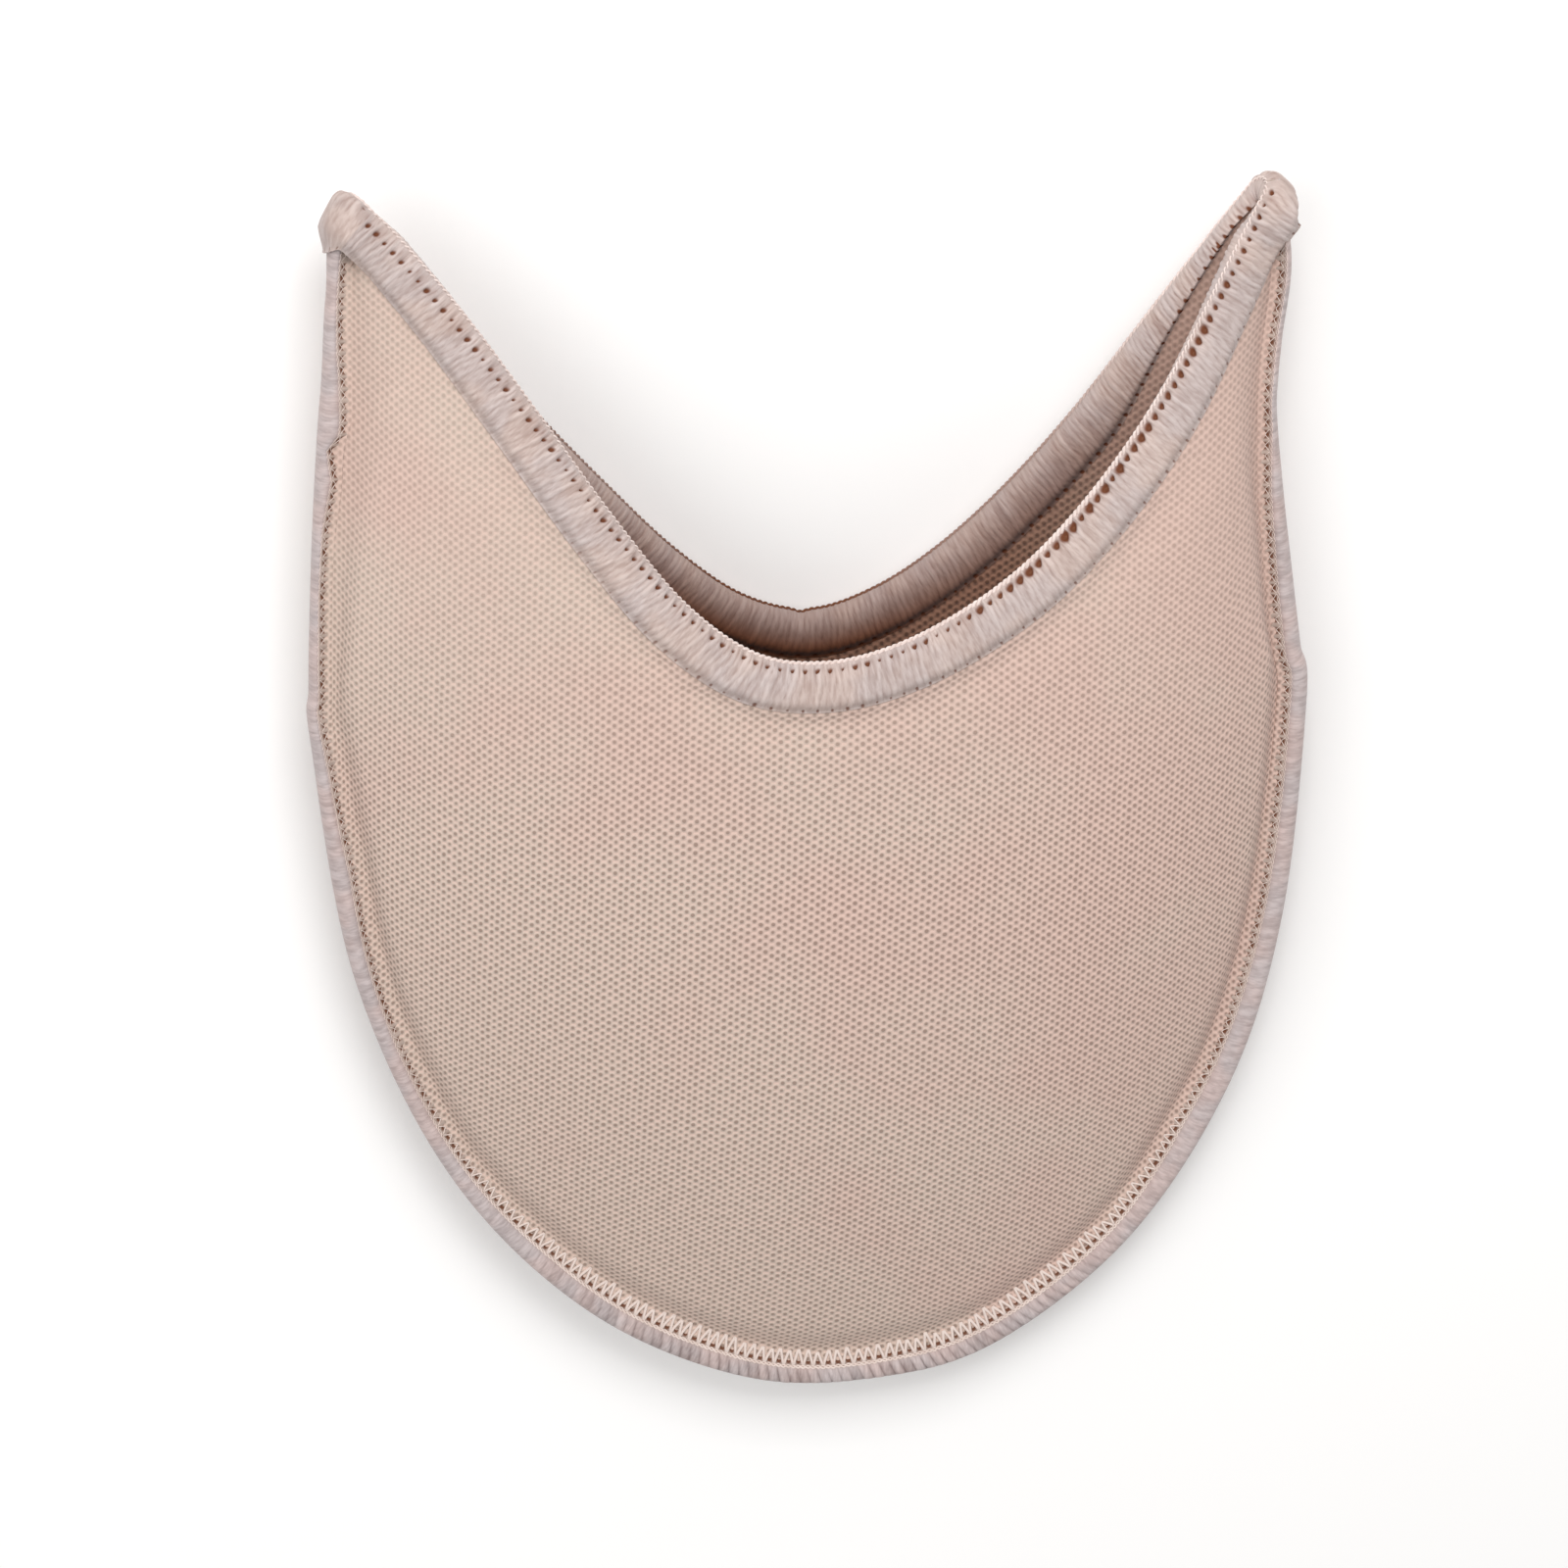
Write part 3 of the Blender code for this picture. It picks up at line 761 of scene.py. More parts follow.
def horn_turn(first, last, widening, lean):
    """The band's sections round a horn tip, from one rim's last section to the other's."""
    centre = (first[:3] + last[:3]) / 2
    arm = first[:3] - centre
    into = unit(first[3:6] + last[3:6])
    tip = unit(np.cross(into, arm))
    tip *= np.sign(tip[1])
    turned = []
    for k in range(1, TURN_STEPS):
        angle = np.pi * k / TURN_STEPS
        outward = unit(arm) * np.cos(angle) + tip * np.sin(angle)
        section = first.copy()
        section[:3] = centre + outward * np.linalg.norm(arm)
        section[3:6] = unit(into * 2 + lean * np.sin(angle) * np.array((0.0, -1.0, 0.0)))
        section[6:9] = outward
        section[9] = HORN_BAND * (1 + widening * np.sin(angle))
        turned.append(section)
    return turned


def around(rows, spots):
    """Values on a smooth closed curve through the rows, at these spots counted in rows."""
    n = len(rows)
    i = np.floor(spots).astype(int)
    t = (spots - i)[:, None]
    a, b, c, d = (rows[(i + k) % n] for k in (-1, 0, 1, 2))
    return 0.5 * (2 * b + (c - a) * t + (2 * a - 5 * b + 4 * c - d) * t**2 + (3 * b - a - 3 * c + d) * t**3)


front_rim = rim_sections("front")
back_rim = rim_sections("back")[::-1]
right_turn = horn_turn(front_rim[-1], back_rim[0], RIGHT_TURN_WIDENING, RIGHT_TURN_LEAN)
left_turn = horn_turn(front_rim[0], back_rim[-1], LEFT_TURN_WIDENING, LEFT_TURN_LEAN)[::-1]
ring_rows = np.vstack((front_rim, right_turn, back_rim, left_turn))
RIM_ROWS = len(front_rim)
ring_spots = np.linspace(0, len(ring_rows), 4000)
ring_run = arc_lengths(around(ring_rows, ring_spots)[:, :3])
STITCHES = int(round(ring_run[-1] / STITCH))
COLUMNS = STITCHES * STEPS_PER_STITCH


def ring_at(stitches):
    """The band's frames at these counts of stitches round the mouth."""
    spots = np.interp(stitches / STITCHES * ring_run[-1], ring_run, ring_spots)
    rows = around(ring_rows, spots)
    rows[:, 3:6] = unit(rows[:, 3:6])
    rows[:, 6:9] = unit(rows[:, 6:9])
    return rows, spots


def band_profile(width, inner, half, cloth_half):
    """Deep and outward places across the band, from its outer foot to its inner foot."""
    caps = []
    for angle in CAP_ANGLES[::-1]:
        reach = half if angle > 0 else np.minimum(half, 0.7 * inner)
        caps.append((reach * (1 - np.cos(angle)), half * np.sin(angle)))
    faces = []
    for span, sign in ((width, 1.0), (inner, -1.0)):
        start = half if sign > 0 else np.minimum(half, 0.7 * inner)
        rows = []
        for share in FACE_SHARES:
            foot = ease((share - 0.58) / 0.42)
            crown = 0.10 * MM * np.sin(np.pi * share)
            out = (half + crown) * (1 - foot) + (cloth_half + SNUG) * foot
            rows.append((start + (span - start) * share, sign * out))
        faces.append(rows)
    rows = faces[0][::-1] + caps + faces[1]
    deep = np.array([row[0] for row in rows])
    out = np.array([row[1] for row in rows])
    return deep, out


stitch_marks = np.arange(COLUMNS) / STEPS_PER_STITCH
ring, ring_where = ring_at(stitch_marks)
width, inner, half, slot, bottom = ring[:, 9:].T
deep, out = band_profile(width, inner, half, slot)
outer_face = out > 0

# Leaning, uneven ribs, two to a stitch
lean = np.where(outer_face, 0.55, -0.8) * deep / BAND_WIDTH
wander_phase = dice.uniform(0, 2 * np.pi, STITCHES)
wander = np.interp(stitch_marks, np.arange(STITCHES), wander_phase, period=STITCHES)
rib_turn = 2 * (stitch_marks[None, :] + lean) + RIB_WANDER * np.sin(deep / (0.55 * MM) + wander)
rib_size = dice.uniform(0.35, 1.3, 2 * STITCHES)
rib_index = np.floor(rib_turn).astype(int) % (2 * STITCHES)
ribs = np.abs(np.sin(np.pi * rib_turn)) ** 0.7 * rib_size[rib_index]
foot_fade = ease((np.where(outer_face, width, inner) - deep) / (0.6 * MM))
edge_fade = ease(deep / (0.5 * MM)) * 0.7 + 0.3
rise = RIB_HEIGHT * ribs * foot_fade * edge_fade

# A row of holes inside the corded edge, wider along the right of the front rim
steps = np.hypot(np.diff(deep, axis=0), np.diff(out, axis=0))
arc = np.vstack((np.zeros(COLUMNS), np.cumsum(steps, axis=0)))
crest = len(FACE_SHARES) + list(CAP_ANGLES[::-1]).index(0.0)
from_edge = np.abs(arc - arc[crest])
hole_place = np.interp(ring_where / (RIM_ROWS - 1), HOLE_SHARES, HOLE_TURNS) * half
from_hole = stitch_marks[None, :] % 1 - 0.5
hole_size = dice.uniform(0.62, 1.25, STITCHES)[np.floor(stitch_marks).astype(int)]
front_share = ring_where / (RIM_ROWS - 1)
wide = ease((front_share - 0.62) / 0.1) * ease((0.97 - front_share) / 0.06)
hole_size = hole_size * (1 + BIG_HOLE_GROWTH * wide)
beyond = from_edge - hole_place
hole_far = np.hypot(
    (from_hole * STITCH + HOLE_SLANT * beyond) / (HOLE_ALONG * hole_size), beyond / (HOLE_ACROSS * hole_size)
)
hole_far = np.where(outer_face, hole_far, 9.0)

# A row of needle pricks at the foot of both faces
prick_far = np.hypot(
    from_hole * STITCH / NEEDLE_ALONG,
    (np.where(outer_face, width, inner) - NEEDLE_SETBACK - deep) / NEEDLE_ACROSS,
)
prick_size = dice.uniform(0.7, 1.25, STITCHES)[np.floor(stitch_marks).astype(int)]
on_back = (ring_where > RIM_ROWS) & (ring_where < 2 * RIM_ROWS + TURN_STEPS)
prick_size = prick_size * np.where(on_back, 1.45, 1.0)
prick_far = prick_far / prick_size

# At the middle of the back rim the band is pinched, and near its right end two threads part
back_columns = np.flatnonzero((ring_where > RIM_ROWS + TURN_STEPS - 1) & (ring_where < 2 * RIM_ROWS + TURN_STEPS - 1))


def column_at(x):
    """The column of the back rim that lies at this x."""
    return back_columns[np.argmin(np.abs(ring[back_columns, 0] - x))]


from_pinch = (stitch_marks - stitch_marks[column_at(PINCH_X)])[None, :] * STITCH
pinch_line = np.exp(-(((from_pinch - PINCH_LEAN * deep) / PINCH_LINE) ** 2))
pinch_line = pinch_line * ease(1 - deep / PINCH_DEEP) * ease(deep / half) * ~outer_face
for slit in range(2):
    from_slit = (stitch_marks - stitch_marks[column_at(SLIT_X)] + 0.55 * slit)[None, :] * STITCH
    beyond_slit = np.maximum(np.abs(deep - SLIT_MIDDLE) - SLIT_HALF, 0)
    slit_far = np.hypot((from_slit - SLIT_LEAN * deep) / SLIT_WIDTH, beyond_slit / (0.3 * MM))
    prick_far = np.where(outer_face, prick_far, np.minimum(prick_far, slit_far))

sink = HOLE_SINK * np.exp(-(hole_far**2)) + NEEDLE_SINK * np.exp(-(prick_far**2))
beads = 0.6 + 0.4 * np.cos(2 * np.pi * from_hole)
edge = EDGE_LIFT * np.exp(-(((deep - 0.35 * MM) / (0.35 * MM)) ** 2)) * (1 - beads) * outer_face
rise = rise + edge - sink - 0.8 * RIB_HEIGHT * pinch_line
dent = PINCH_DENT * np.exp(-((from_pinch / PINCH_WIDTH) ** 2)) * ease(1 - deep / width)

face_way = ring[None, :, 6:9] * np.sign(out)[:, :, None]
cap_blend = np.clip(deep / half, 0, 1)[:, :, None]
push = unit(face_way * cap_blend - ring[None, :, 3:6] * (1 - cap_blend) + face_way * 1e-3)
skin = (
    ring[None, :, :3]
    + ring[None, :, 3:6] * (deep + dent)[:, :, None]
    + ring[None, :, 6:9] * out[:, :, None]
    + push * rise[:, :, None]
)
slots = [
    ring[:, :3] + ring[:, 3:6] * d[:, None] + ring[:, 6:9] * o[:, None]
    for d, o in ((inner, -slot), (bottom, -slot), (bottom, slot), (width, slot))
]
band_points = np.concatenate((skin, np.array(slots)))
band_rows = len(band_points)
# The 'hollow' mark: nearness to a hole, prick or slit, where the thread takes painted shade
faint = np.where(outer_face, np.interp(front_share, PRICK_SHARES, PRICK_FAINT)[None, :], 0.0)
hollow = np.minimum(hole_far, np.maximum(prick_far * 1.15, faint))
hollow = np.vstack((hollow, np.full((4, COLUMNS), 9.0)))
# Painted shade in the grooves between the band's ribs, strongest near the row of holes
from_row = np.maximum(from_edge - hole_place, 0)
strong = np.where(outer_face, 0.4 + 0.6 * np.exp(-from_row / GROOVE_REACH), 1.0)
groove = np.clip(1 - ribs, 0, 1) ** 1.5 * foot_fade * edge_fade * strong

# Along the back rim the inside of the band gets painted shade, most of all at its middle
back_share = (ring_where - RIM_ROWS - TURN_STEPS) / RIM_ROWS
back_share = 1 - np.abs(2 * back_share - 1)
within = 0.74 * ease((back_share - 0.04) / 0.42) + 0.26 * ease((back_share - 0.5) / 0.4)
# The painted shade covers the inner face, deeper towards its foot, and the part of the outer face that rolls over the
# edge
rolled = ease((HALF_TURN - np.degrees(np.arctan2(out, half - np.minimum(deep, half)))) / 120.0)
facing = np.where(outer_face, rolled, 1.0)
depth_shade = np.where(outer_face, 0.42, 0.42 + 0.58 * ease(deep / (0.8 * width)))
inside = within[None, :] * facing * depth_shade
groove = groove * (1 - INSIDE_CALM * inside)
# Painted shade along the pinch's crease
groove = np.maximum(groove, PINCH_DARK * pinch_line)
groove = np.vstack((groove, np.zeros((4, COLUMNS))))
inside = np.vstack((inside, np.ones((4, COLUMNS))))
across_mm = np.vstack((np.where(outer_face, -deep, deep), np.full((4, COLUMNS), 0.0))) / MM


def ring_faces(rows, columns):
    """Quads of a closed tube of rows round a closed ring of columns, and their cells."""
    i, j = np.meshgrid(np.arange(rows), np.arange(columns), indexing="ij")
    n, k = (i + 1) % rows, (j + 1) % columns
    quads = np.stack((i * columns + j, n * columns + j, n * columns + k, i * columns + k), axis=-1)
    return quads.reshape(-1, 4), (i.ravel(), j.ravel())


band_faces, (cell_row, cell_column) = ring_faces(band_rows, COLUMNS)
corner_along = np.stack((cell_column, cell_column, cell_column + 1, cell_column + 1), axis=1)
corner_across = across_mm.ravel()[band_faces]
band_uvs = np.stack((corner_along / STEPS_PER_STITCH * STITCH / MM, corner_across), axis=-1).reshape(-1, 2)
mouth_overlock = add_piece(
    "mouth_overlock", band_points.reshape(-1, 3), band_faces, band_uvs,
    {"hollow": hollow.ravel(), "groove": groove.ravel(), "inside": inside.ravel()},
)


def overlock_group():
    """Bulky textured thread: fibres along each rib, soft tints from thread to thread."""
    inputs = {"Cloth": "Vector", "Fibre": "Float"}
    outputs = {"Tint": "Float", "Shade": "Float", "Height": "Float"}
    maker, given, result = new_group("overlock_thread", inputs, outputs)
    stretch = maker.node("ShaderNodeVectorMath", operation="MULTIPLY")
    maker.feed(stretch.inputs[0], given["Cloth"])
    stretch.inputs[1].default_value = (1.0, 0.22, 1.0)
    fibres = maker.noise(stretch.outputs[0], given["Fibre"], 3.0).outputs["Fac"]
    patches = maker.noise(given["Cloth"], 0.22, 2.0).outputs["Fac"]
    threads = maker.noise(stretch.outputs[0], 1.9, 1.0).outputs["Fac"]
    maker.feed(result["Tint"], maker.between(patches, 0.38, 0.62))
    mixed = maker.math("MULTIPLY_ADD", fibres, 0.6, maker.math("MULTIPLY", threads, 0.4))
    maker.feed(result["Shade"], maker.between(mixed, 0.38, 0.62))
    maker.feed(result["Height"], fibres)


overlock_group()
THREAD_ROUGHNESS = 0.8
THREAD_GLOSS = 0.3
THREAD_SHEEN = 0.12
SHADE_SHARE = 0.35
FIBRE_SIZE = 5.0


def thread_material(name, first, second, groove, hole, within, fibre_depth):
    """Overlock thread in two near tints, with painted shade in its grooves and holes, and a second colour where the
    'inside' mark is set.
    """
    material = bpy.data.materials.new(name)
    material.use_nodes = True
    maker = Maker(material.node_tree)
    shader = material.node_tree.nodes["Principled BSDF"]
    shader.inputs["Roughness"].default_value = THREAD_ROUGHNESS
    shader.inputs["Sheen Roughness"].default_value = 0.45
    cloth = maker.node("ShaderNodeUVMap", uv_map="cloth").outputs[0]
    thread = maker.placed("overlock_thread", {"Cloth": cloth, "Fibre": FIBRE_SIZE})
    base = maker.mix(thread["Tint"], (*first, 1), (*second, 1))
    valley = maker.node("ShaderNodeAttribute", attribute_name="groove").outputs["Fac"]
    inner = maker.node("ShaderNodeAttribute", attribute_name="inside").outputs["Fac"]
    # Where the 'inside' mark is set: painted shade in the mouth band and cord, the cloth's own colour on the seam's
    # bed
    inner_shade_and_bed = maker.mix(inner, base, (*within, 1))
    # Darkened by the fibre tone and by painted shade in the grooves
    shade = maker.math("MULTIPLY_ADD", thread["Shade"], SHADE_SHARE, maker.math("MULTIPLY", valley, GROOVE_DARK))
    multiplied = maker.node("ShaderNodeMix", data_type="RGBA", blend_type="MULTIPLY")
    maker.feed(multiplied.inputs[0], shade)
    maker.feed(multiplied.inputs[6], inner_shade_and_bed)
    maker.feed(multiplied.inputs[7], (*groove, 1))
    shaded = multiplied.outputs[2]
    # Painted shade in holes, pricks and slits, which also lose their gloss and sheen
    hollow = maker.node("ShaderNodeAttribute", attribute_name="hollow").outputs["Fac"]
    dark = maker.between(hollow, 1.25, 0.55)
    maker.feed(shader.inputs["Base Color"], maker.mix(dark, shaded, (*hole, 1)))
    lit = maker.math("SUBTRACT", 1.0, dark)
    maker.feed(shader.inputs["Specular IOR Level"], maker.math("MULTIPLY", lit, THREAD_GLOSS))
    maker.feed(shader.inputs["Sheen Weight"], maker.math("MULTIPLY", lit, THREAD_SHEEN))
    bump = maker.node("ShaderNodeBump")
    bump.inputs["Strength"].default_value = 0.5
    bump.inputs["Distance"].default_value = fibre_depth
    maker.feed(bump.inputs["Height"], thread["Height"])
    maker.feed(shader.inputs["Normal"], bump.outputs[0])
    return material


BAND_PINK = (0.575, 0.47, 0.43)
BAND_LILAC = (0.545, 0.465, 0.445)
# The groove colour darkens the thread by fibre tone and by painted shade in the grooves. The hole colour is painted
# shade.
BAND_GROOVE = (0.50, 0.40, 0.37)
BAND_HOLE = (0.15, 0.055, 0.03)
# Painted shade inside the band and the cord along the back rim
BAND_INNER_SHADE = (0.165, 0.058, 0.025)
mouth_overlock.data.materials.append(
    thread_material("mouth thread", BAND_PINK, BAND_LILAC, BAND_GROOVE, BAND_HOLE, BAND_INNER_SHADE, 0.08 * MM)
)
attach(mouth_overlock, "root")
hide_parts("mouth_binding")

# Corded edge of the mouth
# Two looper threads that lock round each other along the rim's outer shoulder, a pale cord
# with one turn to a stitch, which the ribs hang from.
CORD_STEPS = 8
CORD_SIDES = 6
CORD_THREAD = 0.17 * MM
CORD_SHARES = (0.0, 0.3, 0.45, 0.8, 0.92, 1.1, 1.2)  # of the front rim, from its left end
CORD_PROUD = (0.5, 0.6, 1.0, 1.0, 0.5, 0.5, 0.8)
CORD_WANDER = 0.15 * MM
CORD_DEEP = 0.06 * MM
CORD_OUT_SHARE = 0.06


def add_threads(name, paths, radius, inside=0.0, closed=False, sides=CORD_SIDES):
    """Round threads along the paths, an array of threads, points and places."""
    radius = np.broadcast_to(radius, paths.shape[:2])[:, :, None, None]
    inside = np.broadcast_to(inside, paths.shape[:2])
    count, steps, _ = paths.shape
    if closed:
        tangent = np.roll(paths, -1, axis=1) - np.roll(paths, 1, axis=1)
    else:
        tangent = np.gradient(paths, axis=1)
    tangent = unit(tangent)
    aside = unit(np.cross(tangent, UP + 1e-4))
    above = np.cross(aside, tangent)
    angles = 2 * np.pi * np.arange(sides) / sides
    ring = aside[:, :, None] * np.cos(angles)[:, None] + above[:, :, None] * np.sin(angles)[:, None]
    points = (paths[:, :, None] + radius * ring).reshape(-1, 3)
    i, j = np.meshgrid(np.arange(steps if closed else steps - 1), np.arange(sides), indexing="ij")
    n, k = (i + 1) % steps, (j + 1) % sides
    quads = np.stack((i * sides + j, i * sides + k, n * sides + k, n * sides + j), axis=-1).reshape(-1, 4)
    faces = (quads[None] + (np.arange(count) * steps * sides)[:, None, None]).reshape(-1, 4)
    run = np.stack((i, i, i + 1, i + 1), axis=-1).reshape(-1, 4) * 0.12
    turn = np.stack((j, j + 1, j + 1, j), axis=-1).reshape(-1, 4) / sides
    uvs = np.tile(np.stack((turn, run), axis=-1).reshape(1, -1, 2), (count, 1, 1)).reshape(-1, 2)
    all_faces = faces.tolist()
    if not closed:
        first = np.arange(sides)[::-1]
        last = np.arange(sides) + (steps - 1) * sides
        for thread in range(count):
            for cap in (first, last):
                all_faces.append((cap + thread * steps * sides).tolist())
        uvs = np.vstack((uvs, np.zeros((2 * count * sides, 2))))
    marks = {
        "hollow": np.full(len(points), 9.0),
        "groove": np.zeros(len(points)),
        "inside": np.repeat(inside.ravel(), sides),
    }
    return add_piece(name, points, all_faces, uvs, marks)


cord_marks = np.arange(STITCHES * CORD_STEPS) / CORD_STEPS
cord_ring, cord_where = ring_at(cord_marks)
cords = []
for phase in (0.0, np.pi):
    turn = 2 * np.pi * cord_marks + phase
    cord_deep = CORD_DEEP + CORD_WANDER * np.cos(turn)
    cord_out = cord_ring[:, 11] * CORD_OUT_SHARE + 0.9 * CORD_WANDER * np.sin(turn)
    cords.append(
        cord_ring[:, :3] + cord_ring[:, 3:6] * cord_deep[:, None] + cord_ring[:, 6:9] * cord_out[:, None]
    )
cord_dent = PINCH_DENT * np.exp(-(((cord_marks - stitch_marks[column_at(PINCH_X)]) * STITCH / PINCH_WIDTH) ** 2))
cords = [cord + cord_ring[:, 3:6] * cord_dent[:, None] for cord in cords]
# The cord takes the band's painted shade along the back rim
cord_inside = np.interp(cord_marks, stitch_marks, within, period=STITCHES)
cord_share = cord_where / (RIM_ROWS - 1)
proud = np.interp(cord_share, CORD_SHARES, CORD_PROUD)
mouth_cord = add_threads("mouth_cord", np.array(cords), CORD_THREAD * proud, cord_inside, closed=True)
CORD_CREAM = (0.76, 0.65, 0.61)
CORD_GROOVE = (0.62, 0.52, 0.48)
mouth_cord.data.materials.append(
    thread_material("cord thread", CORD_CREAM, CORD_CREAM, CORD_GROOVE, BAND_HOLE, BAND_INNER_SHADE, 0.03 * MM)
)
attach(mouth_cord, "root")

# Side seam binding
# A narrow overlock that joins both panels from horn to horn round the toe: ribbed thread over
# the raw edge, and inside it a flat strip of the caught cloth with a row of needle holes.
SEAM_STITCH = 0.99 * MM
SEAM_STEPS = 9
SEAM_SETBACK = 1.4 * MM
HORN_BULGE = 0.45 * MM
BULGE_PLACE = 2.2 * MM
BULGE_REACH = 5.2 * MM
SEAM_RIB_HEIGHT = 0.16 * MM
SEAM_HOLE_ALONG = 0.32 * MM
SIDE_HOLE_ALONG = 0.36 * MM
SIDE_HOLE_ACROSS = 0.36 * MM
SEAM_HOLE_ACROSS = 0.36 * MM
SEAM_HOLE_PLACE = 0.34 * MM
SIDE_HOLE_FAINT = 0.0
HORN_CLEAR = 4.5 * MM
SEAM_HOLE_SINK = 0.20 * MM
BED_RISE = 0.28 * MM
SIDE_RELIEF = 0.3
RIBBED_SHARES = np.array((0.0, 0.06, 0.16, 0.3, 0.45, 0.6, 0.75, 0.88, 0.96, 1.0))
BED_SHARES = np.array((0.06, 0.2, 0.35, 0.5, 0.65, 0.8, 0.93, 1.0))

seam_stitches = int(round((SEAM_LENGTH - 2 * SEAM_SETBACK) / SEAM_STITCH))
seam_marks = np.arange(seam_stitches * SEAM_STEPS + 1) / SEAM_STEPS
lead = SEAM_SETBACK / SEAM_LENGTH


def toe_share(shares):
    """1 round the toe, falling to 0 along the sides."""
    return ease((np.minimum(shares, 1 - shares) - 0.28) / 0.15)


def seam_share(marks):
    return lead + (1 - 2 * lead) * marks / seam_stitches


shares = seam_share(seam_marks)
edge_points, seam_into, flange = seam_frames(shares)
from_tip = (shares - lead) * SEAM_LENGTH
bulge = HORN_BULGE * ease(1 - np.abs(from_tip - BULGE_PLACE) / BULGE_REACH)
edge_points = edge_points - seam_into * bulge[:, None]
ribbed = ribbed_width(shares) + bulge
flange = flange + bulge
cloth_top = CLEARANCE / 2 + SEAM_CLOTH
thread_top = cloth_top + CLEARANCE + THREAD
seam_dice = np.random.default_rng(11)
rib_sizes = seam_dice.uniform(0.3, 1.3, seam_stitches + 2)
relief = SIDE_RELIEF + (1 - SIDE_RELIEF) * ease((np.minimum(shares, 1 - shares) - 0.36) / 0.09)
hole_along = SIDE_HOLE_ALONG + (SEAM_HOLE_ALONG - SIDE_HOLE_ALONG) * toe_share(shares)
hole_across = SIDE_HOLE_ACROSS + (SEAM_HOLE_ACROSS - SIDE_HOLE_ACROSS) * toe_share(shares)
at_horn = 9.0 * (1 - ease((np.minimum(shares, 1 - shares) * SEAM_LENGTH - HORN_CLEAR) / MM))
hole_sizes = seam_dice.uniform(0.75, 1.25, seam_stitches + 1)


def seam_face(sign):
    """One face of the strip: places across it, how dark each is, and where its cloth shows."""
    rows, darks, beds, acrosses, grooves = [], [], [], [], []
    centred = seam_marks % 1 - 0.5
    size = hole_sizes[np.floor(seam_marks).astype(int)]
    for region, region_shares in (("ribbed", RIBBED_SHARES), ("bed", BED_SHARES)):
        for share in region_shares:
            if region == "ribbed":
                place = ribbed * share
                round_off = np.sqrt(1 - (1 - np.clip(place / (0.6 * thread_top), 0, 1)) ** 2)
                foot = ease((share - 0.8) / 0.2)
                height = thread_top * round_off * (1 - foot) + (cloth_top + BED_RISE) * foot
                turn = seam_marks + 0.35 * place / MM * sign
                rib = np.abs(np.sin(np.pi * turn)) ** 0.7 * rib_sizes[np.floor(turn).astype(int)]
                height = height + SEAM_RIB_HEIGHT * rib * ease(share / 0.3) * (1 - foot) * relief
                # Painted shade in the grooves between the seam's ribs
                grooves.append(np.clip(1 - rib, 0, 1) ** 2 * (1 - foot) * relief)
            else:
                grooves.append(np.zeros(len(shares)))
                place = ribbed + (flange - ribbed) * share
                height = np.full(len(shares), cloth_top + BED_RISE * (1 - ease(share)))
            # Needle holes: 'far' marks where the strip takes painted shade
            far = np.hypot(
                centred * SEAM_STITCH / (hole_along * size),
                (place - ribbed - SEAM_HOLE_PLACE) / (hole_across * size),
            )
            far = np.maximum(far, SIDE_HOLE_FAINT * (1 - toe_share(shares))) + at_horn
            height = height - np.minimum(SEAM_HOLE_SINK * np.exp(-(far**2)), 0.9 * BED_RISE + 0 * far)
            level = edge_points + seam_into * place[:, None] + UP * sign * height[:, None]
            rows.append(level)
            darks.append(far)
            beds.append(np.full(len(shares), 0.0 if region == "ribbed" and share < 0.95 else 1.0))
            acrosses.append(place / MM * sign)
    return rows, darks, beds, acrosses, grooves


top_rows, top_dark, top_bed, top_across, top_groove = seam_face(1.0)
under_rows, under_dark, under_bed, under_across, under_groove = seam_face(-1.0)
slot_rows = [
    edge_points + seam_into * place[:, None] + UP * height
    for place, height in (
        (flange, -cloth_top + 0.05 * MM),
        (np.full(len(shares), THREAD), -cloth_top + 0.05 * MM),
        (np.full(len(shares), THREAD), cloth_top - 0.05 * MM),
        (flange, cloth_top - 0.05 * MM),
    )
]
strip = np.array(top_rows[::-1] + under_rows[1:] + slot_rows)
seam_dark = np.array(top_dark[::-1] + under_dark[1:] + [np.full(len(shares), 9.0)] * 4)
seam_bed = np.array(top_bed[::-1] + under_bed[1:] + [np.ones(len(shares))] * 4)
seam_groove = np.array(top_groove[::-1] + under_groove[1:] + [np.zeros(len(shares))] * 4)
seam_across = np.array(top_across[::-1] + under_across[1:] + [np.zeros(len(shares))] * 4)
strip_rows, strip_columns = strip.shape[:2]
i, j = np.meshgrid(np.arange(strip_rows), np.arange(strip_columns - 1), indexing="ij")
n = (i + 1) % strip_rows
strip_faces = np.stack(
    (i * strip_columns + j, n * strip_columns + j, n * strip_columns + j + 1, i * strip_columns + j + 1), axis=-1
).reshape(-1, 4)
along_mm = np.tile(seam_marks * SEAM_STITCH / MM, strip_rows)
strip_flat = np.column_stack((along_mm, seam_across.ravel()))
ends = [np.arange(strip_rows)[::-1] * strip_columns, np.arange(strip_rows) * strip_columns + strip_columns - 1]
strip_uvs = np.vstack((strip_flat[strip_faces.ravel()], strip_flat[ends[0]], strip_flat[ends[1]]))
seam_overlock = add_piece(
    "seam_overlock",
    strip.reshape(-1, 3),
    strip_faces.tolist() + [end.tolist() for end in ends],
    strip_uvs,
    {"hollow": seam_dark.ravel(), "inside": seam_bed.ravel(), "groove": seam_groove.ravel()},
)
SEAM_GREY = (0.535, 0.465, 0.46)
SEAM_ROSE = (0.57, 0.46, 0.44)
